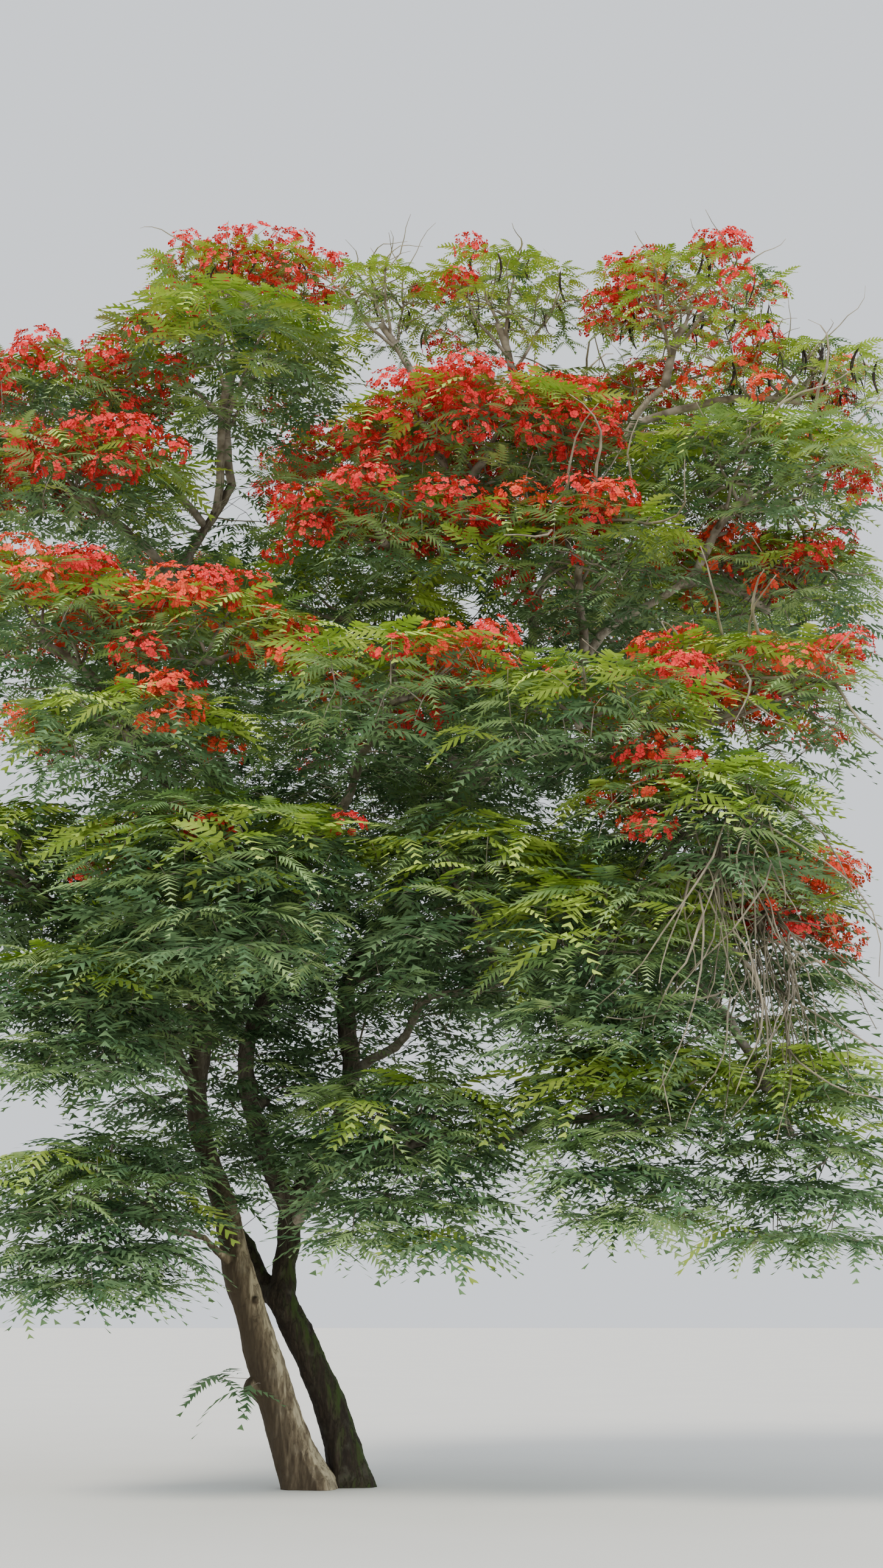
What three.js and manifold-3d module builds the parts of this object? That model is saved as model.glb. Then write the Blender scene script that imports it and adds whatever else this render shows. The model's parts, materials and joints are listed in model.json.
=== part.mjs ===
// Flame tree: two leaning stems from one root, forked leaders, long winding boughs and wide, flat
// tiers of feathery leaf sprays, with blossom on top of the tiers and pods hanging below them.
// Millimetres, Z up, the viewer on the -Y side. The origin is the middle of the flat cut at the
// foot of the pale stem.
import * as THREE from "three";
import { mergeVertices } from "three/addons/utils/BufferGeometryUtils.js";
import Module from "manifold-3d";

const wasm = await Module();
wasm.setup();

// Driving dimensions
const METRE = 1000;
const SEAT_GAP = 0.3; // between two pieces that touch
const WELD = 0.001; // corners nearer than this are one
const SPACE_GAP = 6; // between the leaves of two neighbouring tiers
const LIMB_GAP = 12; // between a leaf or twig and a limb that it passes
const GOLDEN_ANGLE = Math.PI * (3 - Math.sqrt(5));

const STEM_SIDES = 12;
const STEM_STEPS = 7;
const LIMB_SIDES = 6;
const LIMB_STEP = 0.8 * METRE; // length of a limb between two rings
const WINDING = 0.03; // how far a limb winds off its line, as a share of its length
const WINDINGS = 1.6; // turns of that along a limb
const FOOT_DEPTH = 0.3 * METRE; // how far a stem is made below the ground before it is cut flat
const FLARE_HEIGHT = 0.4 * METRE;

const TIER_STEM = [0.066 * METRE, 0.056 * METRE]; // radius at the bough and at the hub
const TIER_STEM_SIDES = 4;
const TIER_STEM_BOW = [0.12, 0.1]; // shares of its length
const TIER_STEM_SWAY = [0.06, -0.05];
const HUB_DROP = 0.35; // how far the hub lies below the tier's middle, as a share of its half height
const TIER_DOME = 0.5; // how far the top of a tier's space falls from its middle to its rim
const TIER_SKIRT = 1.2; // how far down that space goes

const ARM = [0.024 * METRE, 0.021 * METRE]; // radius at the stem and at the tip
const ARM_SIDES = 3;
const ARM_SPACING = 0.17 * METRE; // along the stem, from its tip down
const ARMS_LEAST = 3.4; // arms of a tier before those that its size adds
const ARMS_PER_AREA = 0.75; // arms for each square metre of half width times half depth
const ARM_REACH = 0.74; // of the longest arm, as a share of the tier's reach
const ARM_RISE = 0.82; // of an arm's tip over the tier's middle
const ARM_FALL = 1.1; // less this times the square of how far out the tip is

const LEAF_LENGTH = 1.45 * METRE; // one leaf stands for a spray
const LEAF_OF_REACH = 0.4; // its length in a small tier, as a share of half width plus half depth
const LEAF_WIDTH = 0.5; // share of the length
const LEAF_THICKNESS = 0.04; // share of the length
const WIDEST = 0.58; // where along its length a leaf is widest
const LEAF_ATTEMPTS = 4;
const LEAF_DROOP = 2.4; // the most that a leaf hangs down, for each radian it may turn
const LEAF_PLACES = [ // along an arm: its share of the arm, its turn off it and how far that may vary
  { share: 0.985, turned: 0, spread: 0.15 },
  { share: 0.8, turned: 1.2, spread: 0.35 },
  { share: 0.64, turned: -1.2, spread: 0.35 },
  { share: 0.45, turned: 1.3, spread: 0.35 },
];
const CLUSTER_PLACE = 0.9; // of blossom and pods along an arm
const BLOSSOM_HALF = 0.27 * METRE;
const BLOSSOM_HEIGHT = 0.42 * METRE;
const BLOSSOM_SHOULDER = 0.65; // where a cluster is widest, as a share of its height
const POD_LENGTH = 0.5 * METRE;
const POD_WIDTH = 0.075 * METRE;
const POD_THICKNESS = 0.04 * METRE;
const LIMB_PIECES = 8; // straight pieces of a limb that twigs keep off
const TIER_STEM_PIECES = 4;

// Limbs, in metres and degrees. Each leaves its parent at a share of the parent's length, runs out
// along its heading (0 = +X, 90 = away from the viewer) and rises. Bow pushes its lower and upper
// half up off the straight line, and sway pushes them to the left of the heading. Thick is its
// radius at the start and at the tip.
const LIMBS = {
  stem_pale: { foot: [0, 0], heading: 180, run: 1.03, rise: 2.9, bow: [-0.1, 0], thick: [0.27, 0.21] },
  stem_dark: { foot: [0.53, 0.35], heading: 183, run: 0.97, rise: 2.45,
    bow: [0.2, 0.1], thick: [0.23, 0.19] },
  fork_right: { on: "stem_dark", at: 1, heading: 62, run: 0.23, rise: 1.2,
    bow: [-0.1, 0], thick: [0.17, 0.15] },
  fork_left: { on: "stem_dark", at: 0.97, heading: 143, run: 1.65, rise: 2.8,
    bow: [-0.5, -0.3], thick: [0.13, 0.08] },
  leader_left: { on: "stem_pale", at: 1, heading: 151, run: 0.6, rise: 6.9,
    bow: [-0.7, -0.35], thick: [0.16, 0.11] },
  leader_middle: { on: "fork_right", at: 1, heading: -64, run: 0.22, rise: 3.8,
    sway: [-0.95, -0.9], thick: [0.14, 0.09] },
  leader_right: { on: "fork_right", at: 0.96, heading: 0, run: 2.5, rise: 6,
    bow: [-0.5, 1.4], thick: [0.14, 0.11] },
  bough_crown: { on: "leader_left", at: 1, heading: -55, run: 0.37, rise: 4.3,
    bow: [0.4, 0.7], sway: [-0.4, -0.7], thick: [0.1, 0.06] },
  bough_left_front: { on: "leader_left", at: 0.8, heading: -109, run: 3.3, rise: 1.8,
    bow: [0.3, 0.5], sway: [0.2, -0.2], thick: [0.08, 0.05] },
  bough_left_low: { on: "leader_left", at: 0.35, heading: -126, run: 2.2, rise: 1.6,
    bow: [0.2, 0.3], sway: [0, 0.2], thick: [0.07, 0.045] },
  bough_foot_left: { on: "stem_pale", at: 0.95, heading: -136, run: 1.6, rise: 0.65,
    bow: [0.3, 0.15], thick: [0.06, 0.04] },
  bough_front: { on: "leader_middle", at: 1, heading: -73, run: 3.8, rise: 1.9,
    bow: [0.2, 0.9], sway: [-0.4, 0.3], thick: [0.085, 0.05] },
  bough_centre: { on: "leader_right", at: 1, heading: -104, run: 1.1, rise: 3.7,
    sway: [-0.5, -0.6], thick: [0.09, 0.055] },
  bough_top: { on: "leader_right", at: 0.97, heading: 6, run: 1, rise: 5,
    bow: [-0.5, -0.8], thick: [0.1, 0.06] },
  bough_top_right: { on: "bough_top", at: 0.6, heading: -21, run: 2.1, rise: 3.2,
    bow: [0.1, 0.4], thick: [0.065, 0.045] },
  bough_right: { on: "leader_right", at: 0.88, heading: -19, run: 4.1, rise: 3.4,
    bow: [-0.3, 0.5], sway: [0.2, 0], thick: [0.09, 0.05] },
  bough_right_front: { on: "leader_right", at: 0.8, heading: -48, run: 4.9, rise: 0.6,
    bow: [0.9, 0.9], sway: [-0.3, 0.3], thick: [0.09, 0.05] },
  bough_right_low: { on: "leader_right", at: 0.5, heading: -41, run: 5.2, rise: 0.6,
    bow: [0.5, 0.8], sway: [0.4, -0.4], thick: [0.09, 0.05] },
  bough_centre_low: { on: "leader_right", at: 0.3, heading: -53, run: 3.9, rise: 1.1,
    bow: [0.3, 0.5], sway: [-0.2, 0.3], thick: [0.07, 0.045] },
  bough_foot_right: { on: "fork_right", at: 0.8, heading: -36, run: 3.5, rise: 1,
    bow: [0.6, 0.5], thick: [0.075, 0.045] },
  bough_back_left: { on: "leader_middle", at: 0.88, heading: 129, run: 2.9, rise: 5.2,
    bow: [-0.6, 0.3], thick: [0.085, 0.05] },
  bough_back_right: { on: "leader_right", at: 0.7, heading: 47, run: 3.4, rise: 3.7,
    bow: [0, 0.6], thick: [0.09, 0.05] },
};

// Tiers of foliage, in metres and degrees. The middle of each lies so far out and up from the place
// where its stem leaves a limb, and reach is its half width, half depth and half height. Bloom is
// the share of its twig ends that are in blossom.
const TIERS = {
  crown_arch: { on: "bough_crown", at: 1, heading: 80, run: 0.3, rise: 3.4,
    reach: [1.6, 1.2, 0.5], bloom: 0.9, pods: 2 },
  left_dome: { on: "bough_crown", at: 0.9, heading: -77, run: 1.2, rise: 1.9,
    reach: [1.9, 2, 0.9], bloom: 0.15 },
  left_shoulder: { on: "bough_crown", at: 0.85, heading: -157, run: 2.2, rise: 1.5,
    reach: [1.6, 1.6, 0.75], bloom: 0.6 },
  left_shelf: { on: "bough_crown", at: 0.6, heading: -121, run: 2.5, rise: 1,
    reach: [1.9, 1.5, 0.55], bloom: 0.8 },
  middle_top: { on: "bough_centre", at: 0.95, heading: 169, run: 1, rise: 3.7,
    reach: [0.9, 1, 0.8], bloom: 0.5, pods: 1 },
  bloom_dome: { on: "bough_centre", at: 1, heading: -60, run: 0.9, rise: 0.9,
    reach: [2.1, 2, 0.8], bloom: 1 },
  bloom_skirt: { on: "bough_centre", at: 0.7, heading: -103, run: 2.4, rise: 0.3,
    reach: [1.6, 1.3, 0.55], bloom: 0.7 },
  crown_middle: { on: "bough_top", at: 1, heading: -147, run: 0.4, rise: 2.7,
    reach: [1.4, 1.4, 0.9], bloom: 0.2, pods: 2 },
  crown_right: { on: "bough_top_right", at: 1, heading: -53, run: 0.5, rise: 1.1,
    reach: [1.6, 1.5, 0.85], bloom: 0.6, pods: 2 },
  right_middle: { on: "bough_top", at: 0.94, heading: 42, run: 1.8, rise: 1.7,
    reach: [2, 1.6, 0.75], bloom: 0.3 },
  right_reach: { on: "bough_top_right", at: 0.8, heading: -13, run: 2.5, rise: 0.4,
    reach: [1.6, 1.2, 0.7], bloom: 0.4, pods: 5 },
  right_slope: { on: "bough_right", at: 1, heading: -16, run: 0.8, rise: 1.4,
    reach: [2, 1.8, 0.8], bloom: 0.4 },
  right_heart: { on: "bough_right", at: 0.6, heading: -94, run: 1.5, rise: 1.3,
    reach: [1.5, 1.4, 0.75], bloom: 0.6 },
  right_side: { on: "bough_right", at: 0.95, heading: 42, run: 1.9, rise: 0.3,
    reach: [1.8, 1.8, 0.85], bloom: 0.4 },
  left_front: { on: "bough_left_front", at: 1, heading: -135, run: 1, rise: 0.7,
    reach: [1.7, 1.7, 0.75], bloom: 0.8 },
  left_fore: { on: "bough_left_front", at: 0.8, heading: -55, run: 2.3, rise: 0.5,
    reach: [1.4, 1.4, 0.7], bloom: 0.7 },
  left_skirt: { on: "bough_left_front", at: 0.95, heading: -72, run: 2, rise: -1,
    reach: [1.6, 1.3, 0.5], bloom: 0.4 },
  centre_front: { on: "bough_front", at: 1, heading: -73, run: 1.4, rise: 0.4,
    reach: [1.6, 1.5, 0.6], bloom: 0.6 },
  centre_heart: { on: "bough_centre", at: 0.4, heading: -143, run: 1.8, rise: 0.9,
    reach: [1.8, 1.6, 0.65], bloom: 0.2 },
  right_front: { on: "bough_right_front", at: 0.8, heading: -104, run: 2.3, rise: 0,
    reach: [1.7, 1.6, 0.6], bloom: 0.2 },
  right_bloom: { on: "bough_right_front", at: 1, heading: 5, run: 1.1, rise: 0.9,
    reach: [1.7, 1.6, 0.7], bloom: 0.7 },
  right_tangle: { on: "bough_right_low", at: 1, heading: -70, run: 1.5, rise: 0.8,
    reach: [1.6, 1.4, 0.7], bloom: 0.3 },
  right_low: { on: "bough_right_low", at: 0.93, heading: 17, run: 2, rise: 0,
    reach: [1.3, 1.5, 0.9], bloom: 0.5 },
  centre_left_low: { on: "bough_front", at: 0.3, heading: -105, run: 3.3, rise: -0.6,
    reach: [2, 1.6, 0.75], bloom: 0.3 },
  centre_low: { on: "bough_centre_low", at: 0.8, heading: -105, run: 1.5, rise: 1.2,
    reach: [1.5, 1.4, 0.8] },
  centre_right_low: { on: "bough_centre_low", at: 1, heading: -47, run: 1.4, rise: 0.3,
    reach: [1.6, 1.5, 0.8] },
  left_low: { on: "bough_left_low", at: 1, heading: -155, run: 1.2, rise: 1.3,
    reach: [1.4, 1.4, 0.65] },
  left_lower: { on: "bough_left_low", at: 0.93, heading: -87, run: 1.4, rise: -0.6,
    reach: [1.4, 1.4, 0.6] },
  foot_left: { on: "bough_foot_left", at: 1, heading: -124, run: 0.9, rise: 0.4,
    reach: [1.6, 1.4, 0.7] },
  foot_middle: { on: "bough_foot_right", at: 0.93, heading: -136, run: 1.4, rise: 0.1,
    reach: [1.5, 1.3, 0.8] },
  foot_right: { on: "bough_foot_right", at: 1, heading: -37, run: 2.2, rise: 0.4,
    reach: [1.7, 1.4, 0.8] },
  foot_far_right: { on: "bough_right_low", at: 0.85, heading: -8, run: 2.5, rise: -2.9,
    reach: [1.4, 1.3, 0.9] },
  back_left: { on: "bough_back_left", at: 1, heading: 114, run: 1.1, rise: 1.1,
    reach: [2.3, 1.8, 0.95], bloom: 0.4 },
  back_low_left: { on: "fork_left", at: 1, heading: 107, run: 2, rise: 3,
    reach: [2.1, 1.7, 0.95], bloom: 0.1 },
  back_top: { on: "bough_top", at: 0.8, heading: 132, run: 3.1, rise: 1.9,
    reach: [2.2, 1.6, 0.9], bloom: 0.5 },
  back_right: { on: "bough_back_right", at: 1, heading: 23, run: 2.3, rise: 1.8,
    reach: [2.4, 1.8, 1], bloom: 0.4 },
  back_middle: { on: "bough_back_right", at: 0.6, heading: 124, run: 2.6, rise: 1.4,
    reach: [2.3, 1.7, 1], bloom: 0.3 },
  back_low_right: { on: "leader_right", at: 0.42, heading: 43, run: 4.4, rise: 2.4,
    reach: [2.3, 1.7, 0.95], bloom: 0.1 },
};

const BARK_PALE = new THREE.Color("#9a8d7c");
const BARK_DARK = new THREE.Color("#4f4a3c");
const BARK_UPPER = new THREE.Color("#8a8072");
const LEAF_GREEN = new THREE.Color("#6f8f36");
const BLOSSOM_RED = new THREE.Color("#d2372a");

// Seeded random numbers from 0 to 1
function dice(seed) {
  let state = seed >>> 0;
  return () => {
    state = (Math.imul(state, 1664525) + 1013904223) >>> 0;
    return state / 4294967296;
  };
}

const between = (random, low, high) => low + (high - low) * random();
const radians = (degrees) => (degrees * Math.PI) / 180;
const heading = (angle) => new THREE.Vector3(Math.cos(angle), Math.sin(angle), 0);
const mix = (pair, share) => pair[0] + (pair[1] - pair[0]) * share;

// A bent line from start to end, pushed up by bow and to the left by sway in its two halves, and
// winding round that line by a share of its length
class BentCurve extends THREE.Curve {
  constructor(start, end, bow, sway, winding = 0, turn = 0) {
    super();
    const chord = end.clone().sub(start);
    const run = Math.hypot(chord.x, chord.y);
    const out = new THREE.Vector3(chord.x / run, chord.y / run, 0);
    const left = new THREE.Vector3(-out.y, out.x, 0);
    const lift = new THREE.Vector3(0, 0, run).addScaledVector(out, -chord.z).normalize();
    const pull = (share, half) => start.clone().addScaledVector(chord, share)
      .addScaledVector(lift, bow[half]).addScaledVector(left, sway[half]);
    this.bezier = new THREE.CubicBezierCurve3(start, pull(1 / 3, 0), pull(2 / 3, 1), end);
    Object.assign(this, { left, lift, turn, width: winding * chord.length() });
  }

  getPoint(share, target = new THREE.Vector3()) {
    const wave = this.turn + share * WINDINGS * 2 * Math.PI;
    const width = this.width * Math.sin(Math.PI * share);
    return this.bezier.getPoint(share, target)
      .addScaledVector(this.left, width * Math.sin(wave))
      .addScaledVector(this.lift, width * Math.cos(1.3 * wave));
  }
}

// A solid from a three.js geometry whose faces close
function solidOf(geometry) {
  geometry.deleteAttribute("normal");
  geometry.deleteAttribute("uv");
  const merged = mergeVertices(geometry, WELD);
  const vertProperties = new Float32Array(merged.getAttribute("position").array);
  const triVerts = new Uint32Array(merged.getIndex().array);
  return new wasm.Manifold(new wasm.Mesh({ numProp: 3, vertProperties, triVerts }));
}

// A tapering tube: a cylinder whose rings are carried along the curve from one share to another
function tube(curve, radiusAt, sides, steps, from = 0, to = 1) {
  const rings = [];
  let up = new THREE.Vector3(0, -0.3, -1);
  for (let ring = 0; ring <= steps; ring += 1) {
    const share = from + ((to - from) * ring) / steps;
    const inside = THREE.MathUtils.clamp(share, 0, 1);
    const tangent = curve.getTangent(inside);
    const point = curve.getPoint(inside).addScaledVector(tangent, (share - inside) * curve.getLength());
    up = up.clone().addScaledVector(tangent, -up.dot(tangent)).normalize();
    rings.push({ share, point, up, side: tangent.clone().cross(up) });
  }
  const geometry = new THREE.CylinderGeometry(1, 1, 1, sides, steps);
  const place = geometry.getAttribute("position");
  for (let i = 0; i < place.count; i += 1) {
    const ring = rings[Math.round((place.getY(i) + 0.5) * steps)];
    const across = new THREE.Vector2(place.getX(i), place.getZ(i));
    const radius = radiusAt(ring.share, Math.atan2(across.y, across.x));
    const spot = ring.point.clone()
      .addScaledVector(ring.side, across.x * radius)
      .addScaledVector(ring.up, across.y * radius);
    place.setXYZ(i, spot.x, spot.y, spot.z);
  }
  return solidOf(geometry).simplify(WELD);
}

// A leaf of four faces: a long edge from root to tip below, a short one from side to side above
function leaf(root, along, length, width, thickness) {
  const side = new THREE.Vector3(-along.y, along.x, 0).normalize();
  const up = along.clone().cross(side);
  const geometry = new THREE.TetrahedronGeometry(Math.sqrt(3));
  const place = geometry.getAttribute("position");
  for (let i = 0; i < place.count; i += 1) {
    const lengthwise = (place.getX(i) - place.getY(i)) / 2;
    const sideways = (place.getX(i) + place.getY(i)) / 2;
    const share = lengthwise < -0.5 ? 0 : lengthwise > 0.5 ? 1 : WIDEST;
    const spot = root.clone()
      .addScaledVector(along, share * length)
      .addScaledVector(side, (sideways * width) / 2)
      .addScaledVector(up, (place.getZ(i) > 0 ? 1 : 0) * thickness);
    place.setXYZ(i, spot.x, spot.y, spot.z);
  }
  return geometry;
}

// A cluster of blossom that stands on its lower point
function bouquet(root, half, height) {
  const geometry = new THREE.OctahedronGeometry(1);
  const place = geometry.getAttribute("position");
  for (let i = 0; i < place.count; i += 1) {
    const up = place.getZ(i) < -0.5 ? 0 : place.getZ(i) > 0.5 ? 1 : BLOSSOM_SHOULDER;
    place.setXYZ(i, root.x + half * place.getX(i), root.y + half * place.getY(i), root.z + height * up);
  }
  return geometry;
}

function corners(geometry) {
  const place = geometry.getAttribute("position");
  return Array.from({ length: place.count }, (_, i) => new THREE.Vector3().fromBufferAttribute(place, i));
}

// The radius of a limb along its length, with a lobed flare at the foot of a stem
function limbRadius(row) {
  const [start, tip] = row.thick.map((size) => size * METRE);
  const length = Math.hypot(row.run, row.rise) * METRE;
  return (share, angle = 0) => {
    const plain = Math.max(tip, start + (tip - start) * share);
    if (!row.foot) return plain;
    const flare = Math.exp(-Math.max(0, share * length) / FLARE_HEIGHT);
    return plain * (1 + flare * (0.45 + 0.2 * Math.cos(4 * angle)));
  };
}

function offset(row, start) {
  return start.clone().addScaledVector(heading(radians(row.heading)), row.run * METRE)
    .add(new THREE.Vector3(0, 0, row.rise * METRE));
}

function makeLimbs() {
  const ground = new THREE.BoxGeometry(4 * METRE, 4 * METRE, 2 * FOOT_DEPTH);
  ground.translate(0, 0, -FOOT_DEPTH);
  const below = solidOf(ground);
  const limbs = [];
  for (const [name, row] of Object.entries(LIMBS)) {
    const parent = limbs.find((limb) => limb.name === row.on);
    const start = row.foot
      ? new THREE.Vector3(...row.foot, 0).multiplyScalar(METRE)
      : parent.curve.getPoint(row.at);
    const { bow = [0, 0], sway = [0, 0] } = row;
    const scaled = [bow, sway].map((pair) => pair.map((size) => size * METRE));
    const winding = row.foot ? 0 : WINDING;
    const curve = new BentCurve(start, offset(row, start), ...scaled, winding, limbs.length * GOLDEN_ANGLE);
    const radiusAt = limbRadius(row);
    const steps = row.foot ? STEM_STEPS : Math.max(3, Math.round(curve.getLength() / LIMB_STEP));
    const sides = row.foot ? STEM_SIDES : LIMB_SIDES;
    const from = row.foot ? -FOOT_DEPTH / curve.getLength() : 0;
    const grown = (gap) => tube(curve, (...at) => radiusAt(...at) + gap, sides, steps,
      from - gap / curve.getLength(), 1 + gap / curve.getLength());
    const whole = row.foot ? grown(0).subtract(below) : grown(0);
    const solid = cutClear(whole, limbs);
    limbs.push({ name, row, curve, radiusAt, solid, keepOut: grown(SEAT_GAP), parent });
  }
  return limbs;
}

// What is left of a solid after its neighbours' places are taken out of it: its largest body
function cutClear(solid, neighbours) {
  let left = solid;
  for (const { keepOut } of neighbours) {
    if (boxesMeet(left.boundingBox(), keepOut.boundingBox())) left = left.subtract(keepOut);
  }
  const plain = largestBody(left).simplify(SEAT_GAP / 6);
  return largestBody(solidOf(geometryOf(plain)));
}

function boxesMeet(a, b) {
  return [0, 1, 2].every((axis) => a.min[axis] < b.max[axis] && b.min[axis] < a.max[axis]);
}

function largestBody(solid) {
  const bodies = solid.decompose();
  return bodies.reduce((best, body) => (body.volume() > best.volume() ? body : best));
}

// Straight pieces of a curve with their thickness, to keep other twigs off
function capsules(curve, radiusAt, pieces) {
  return Array.from({ length: pieces }, (_, i) => ({
    line: new THREE.Line3(curve.getPoint(i / pieces), curve.getPoint((i + 1) / pieces)),
    radius: radiusAt(i / pieces),
  }));
}

// The smallest distance between two straight pieces, by the nearest of a few points on one of them
function lineGap(a, b) {
  const point = new THREE.Vector3();
  const nearest = new THREE.Vector3();
  let gap = Infinity;
  for (let i = 0; i <= 6; i += 1) {
    a.at(i / 6, point);
    b.closestPointToPoint(point, true, nearest);
    gap = Math.min(gap, point.distanceTo(nearest));
  }
  return gap;
}

// Each tier's middle, hub, stem and the space that its twigs and leaves keep to
function planTiers(limbs) {
  const plans = Object.entries(TIERS).map(([name, row], index) => {
    const limb = limbs.find((one) => one.name === row.on);
    const start = limb.curve.getPoint(row.at);
    const middle = offset(row, start);
    const reach = new THREE.Vector3(...row.reach).multiplyScalar(METRE);
    const hub = middle.clone().add(new THREE.Vector3(0, 0, -HUB_DROP * reach.z));
    const length = start.distanceTo(hub);
    const scaled = [TIER_STEM_BOW, TIER_STEM_SWAY].map((pair) => pair.map((part) => part * length));
    const curve = new BentCurve(start, hub, ...scaled);
    const radiusAt = (share) => mix(TIER_STEM, THREE.MathUtils.clamp(share, 0, 1));
    const steps = Math.max(2, Math.round(curve.getLength() / LIMB_STEP));
    const stem = (gap) => tube(curve, (share) => radiusAt(share) + gap, TIER_STEM_SIDES, steps);
    return { name, row, index, middle, reach, curve, radiusAt, stem, walls: [] };
  });
  for (const plan of plans) {
    for (const other of plans) {
      const apart = other.middle.clone().sub(plan.middle);
      const near = ["x", "y", "z"].every((axis) => (
        Math.abs(apart[axis]) < plan.reach[axis] + other.reach[axis]));
      if (other !== plan && near) plan.walls.push(wallBetween(plan, other, apart));
    }
  }
  return plans;
}

// The plane between two overlapping spaces, turned by how flat they are
function wallBetween(plan, other, apart) {
  const normal = new THREE.Vector3();
  for (const axis of ["x", "y", "z"]) {
    normal[axis] = apart[axis] / (plan.reach[axis] + other.reach[axis]) ** 2;
  }
  const share = plan.reach.length() / (plan.reach.length() + other.reach.length());
  const point = plan.middle.clone().addScaledVector(apart, share);
  return new THREE.Plane().setFromNormalAndCoplanarPoint(normal.normalize(), point);
}

// A tier's space is a dome over a flat underside, less what is beyond its walls
function inSpace(plan, point) {
  const away = point.clone().sub(plan.middle).divide(plan.reach);
  const out = Math.hypot(away.x, away.y);
  const fits = out < 1 && away.z < 1 - TIER_DOME * out * out && away.z > -TIER_SKIRT;
  return fits && plan.walls.every((wall) => wall.distanceToPoint(point) < -SPACE_GAP);
}

function clearOf(obstacles, line, radius) {
  return obstacles.every((one) => lineGap(line, one.line) > radius + one.radius + LIMB_GAP);
}

// The arms that run from a tier's stem to its ends, less those that would leave its space or touch a
// limb, and which of them are in blossom
function armsOf(plan, obstacles) {
  const random = dice(977 * plan.index + 31);
  const flowering = dice(389 * plan.index + 17);
  const { middle, reach, row } = plan;
  const { bloom = 0 } = row;
  const count = Math.round(ARMS_LEAST + ARMS_PER_AREA * row.reach[0] * row.reach[1]);
  const turn = random() * Math.PI;
  const arms = [];
  for (let i = 0; i < count; i += 1) {
    const angle = turn + i * GOLDEN_ANGLE;
    const out = ARM_REACH * Math.sqrt((i + 0.5) / count);
    const rise = ARM_RISE - ARM_FALL * out * out + between(random, -0.1, 0.1);
    const end = new THREE.Vector3(out * Math.cos(angle), out * Math.sin(angle), rise)
      .multiply(reach).add(middle);
    const back = (ARM_SPACING * (i + 0.4)) / plan.curve.getLength();
    const root = plan.curve.getPoint(Math.max(0.4, 1 - back));
    const line = new THREE.LineCurve3(root, end);
    const blooms = flowering() < bloom;
    const free = [0.5, 0.75, 1].every((share) => inSpace(plan, line.getPoint(share)))
      && clearOf(obstacles, new THREE.Line3(root, end), ARM[0]);
    if (free) arms.push({ line, blooms });
  }
  return arms;
}

// A tier: its stem, its arms, and the leaves, blossom and pods that find room on them
function growTier(plan, limbs, obstacles) {
  const random = dice(613 * plan.index + 7);
  const { reach } = plan;
  const { pods = 0 } = plan.row;
  const stem = plan.stem(0);
  const armRadius = (share) => mix(ARM, THREE.MathUtils.clamp(share, 0, 1));
  const arms = armsOf(plan, obstacles);
  for (const arm of arms) arm.solid = tube(arm.line, armRadius, ARM_SIDES, 1);
  const sprays = [];
  const addIfFree = (arm, shape, root, tip, radius) => {
    if (!corners(shape).every((corner) => inSpace(plan, corner))) return false;
    if (!clearOf(obstacles, new THREE.Line3(root, tip), radius)) return false;
    const solid = solidOf(shape);
    const others = [stem, ...sprays, ...arms.filter((other) => other !== arm).map((other) => other.solid)];
    if (others.some((other) => !other.intersect(solid).isEmpty())) return false;
    sprays.push(solid);
    return true;
  };
  const addLeaf = (arm, length, { share, turned, spread }) => {
    const root = arm.line.getPoint(share);
    const ahead = Math.atan2(arm.line.v2.y - arm.line.v1.y, arm.line.v2.x - arm.line.v1.x) + turned;
    for (let attempt = 0; attempt < LEAF_ATTEMPTS; attempt += 1) {
      const angle = ahead + between(random, -spread, spread);
      const droop = between(random, 0, LEAF_DROOP * spread);
      const along = heading(angle).multiplyScalar(Math.cos(droop)).setZ(-Math.sin(droop));
      const shape = leaf(root, along, length, LEAF_WIDTH * length, LEAF_THICKNESS * length);
      const tip = root.clone().addScaledVector(along, length);
      if (addIfFree(arm, shape, root.clone().lerp(tip, 0.2), tip, 0.15 * length)) return;
    }
  };

  arms.forEach((arm, order) => {
    const longest = Math.min(LEAF_LENGTH, LEAF_OF_REACH * (reach.x + reach.y));
    const length = between(random, 0.85, 1.1) * longest;
    for (const place of LEAF_PLACES) addLeaf(arm, length, place);
    const root = arm.line.getPoint(CLUSTER_PLACE);
    if (arm.blooms) {
      const size = between(random, 0.85, 1.2);
      const top = root.clone().add(new THREE.Vector3(0, 0, size * BLOSSOM_HEIGHT));
      addIfFree(arm, bouquet(root, size * BLOSSOM_HALF, size * BLOSSOM_HEIGHT), top, top, BLOSSOM_HALF);
    }
    if (order < pods) {
      const down = new THREE.Vector3(0.08, 0, -1).normalize();
      const pod = leaf(root, down, POD_LENGTH, POD_WIDTH, POD_THICKNESS);
      addIfFree(arm, pod, root, root.clone().addScaledVector(down, POD_LENGTH), POD_WIDTH);
    }
  });
  const wood = [stem, ...arms.map((arm) => arm.solid)];
  return cutClear(wasm.Manifold.union([...wood, ...sprays]), limbs);
}

function geometryOf(solid) {
  const { vertProperties, triVerts, numProp } = solid.getMesh();
  const geometry = new THREE.BufferGeometry();
  const place = new Float32Array((vertProperties.length / numProp) * 3);
  for (let i = 0; i < place.length; i += 1) {
    place[i] = vertProperties[Math.floor(i / 3) * numProp + (i % 3)];
  }
  geometry.setAttribute("position", new THREE.BufferAttribute(place, 3));
  geometry.setIndex(new THREE.BufferAttribute(new Uint32Array(triVerts), 1));
  return geometry;
}

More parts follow.
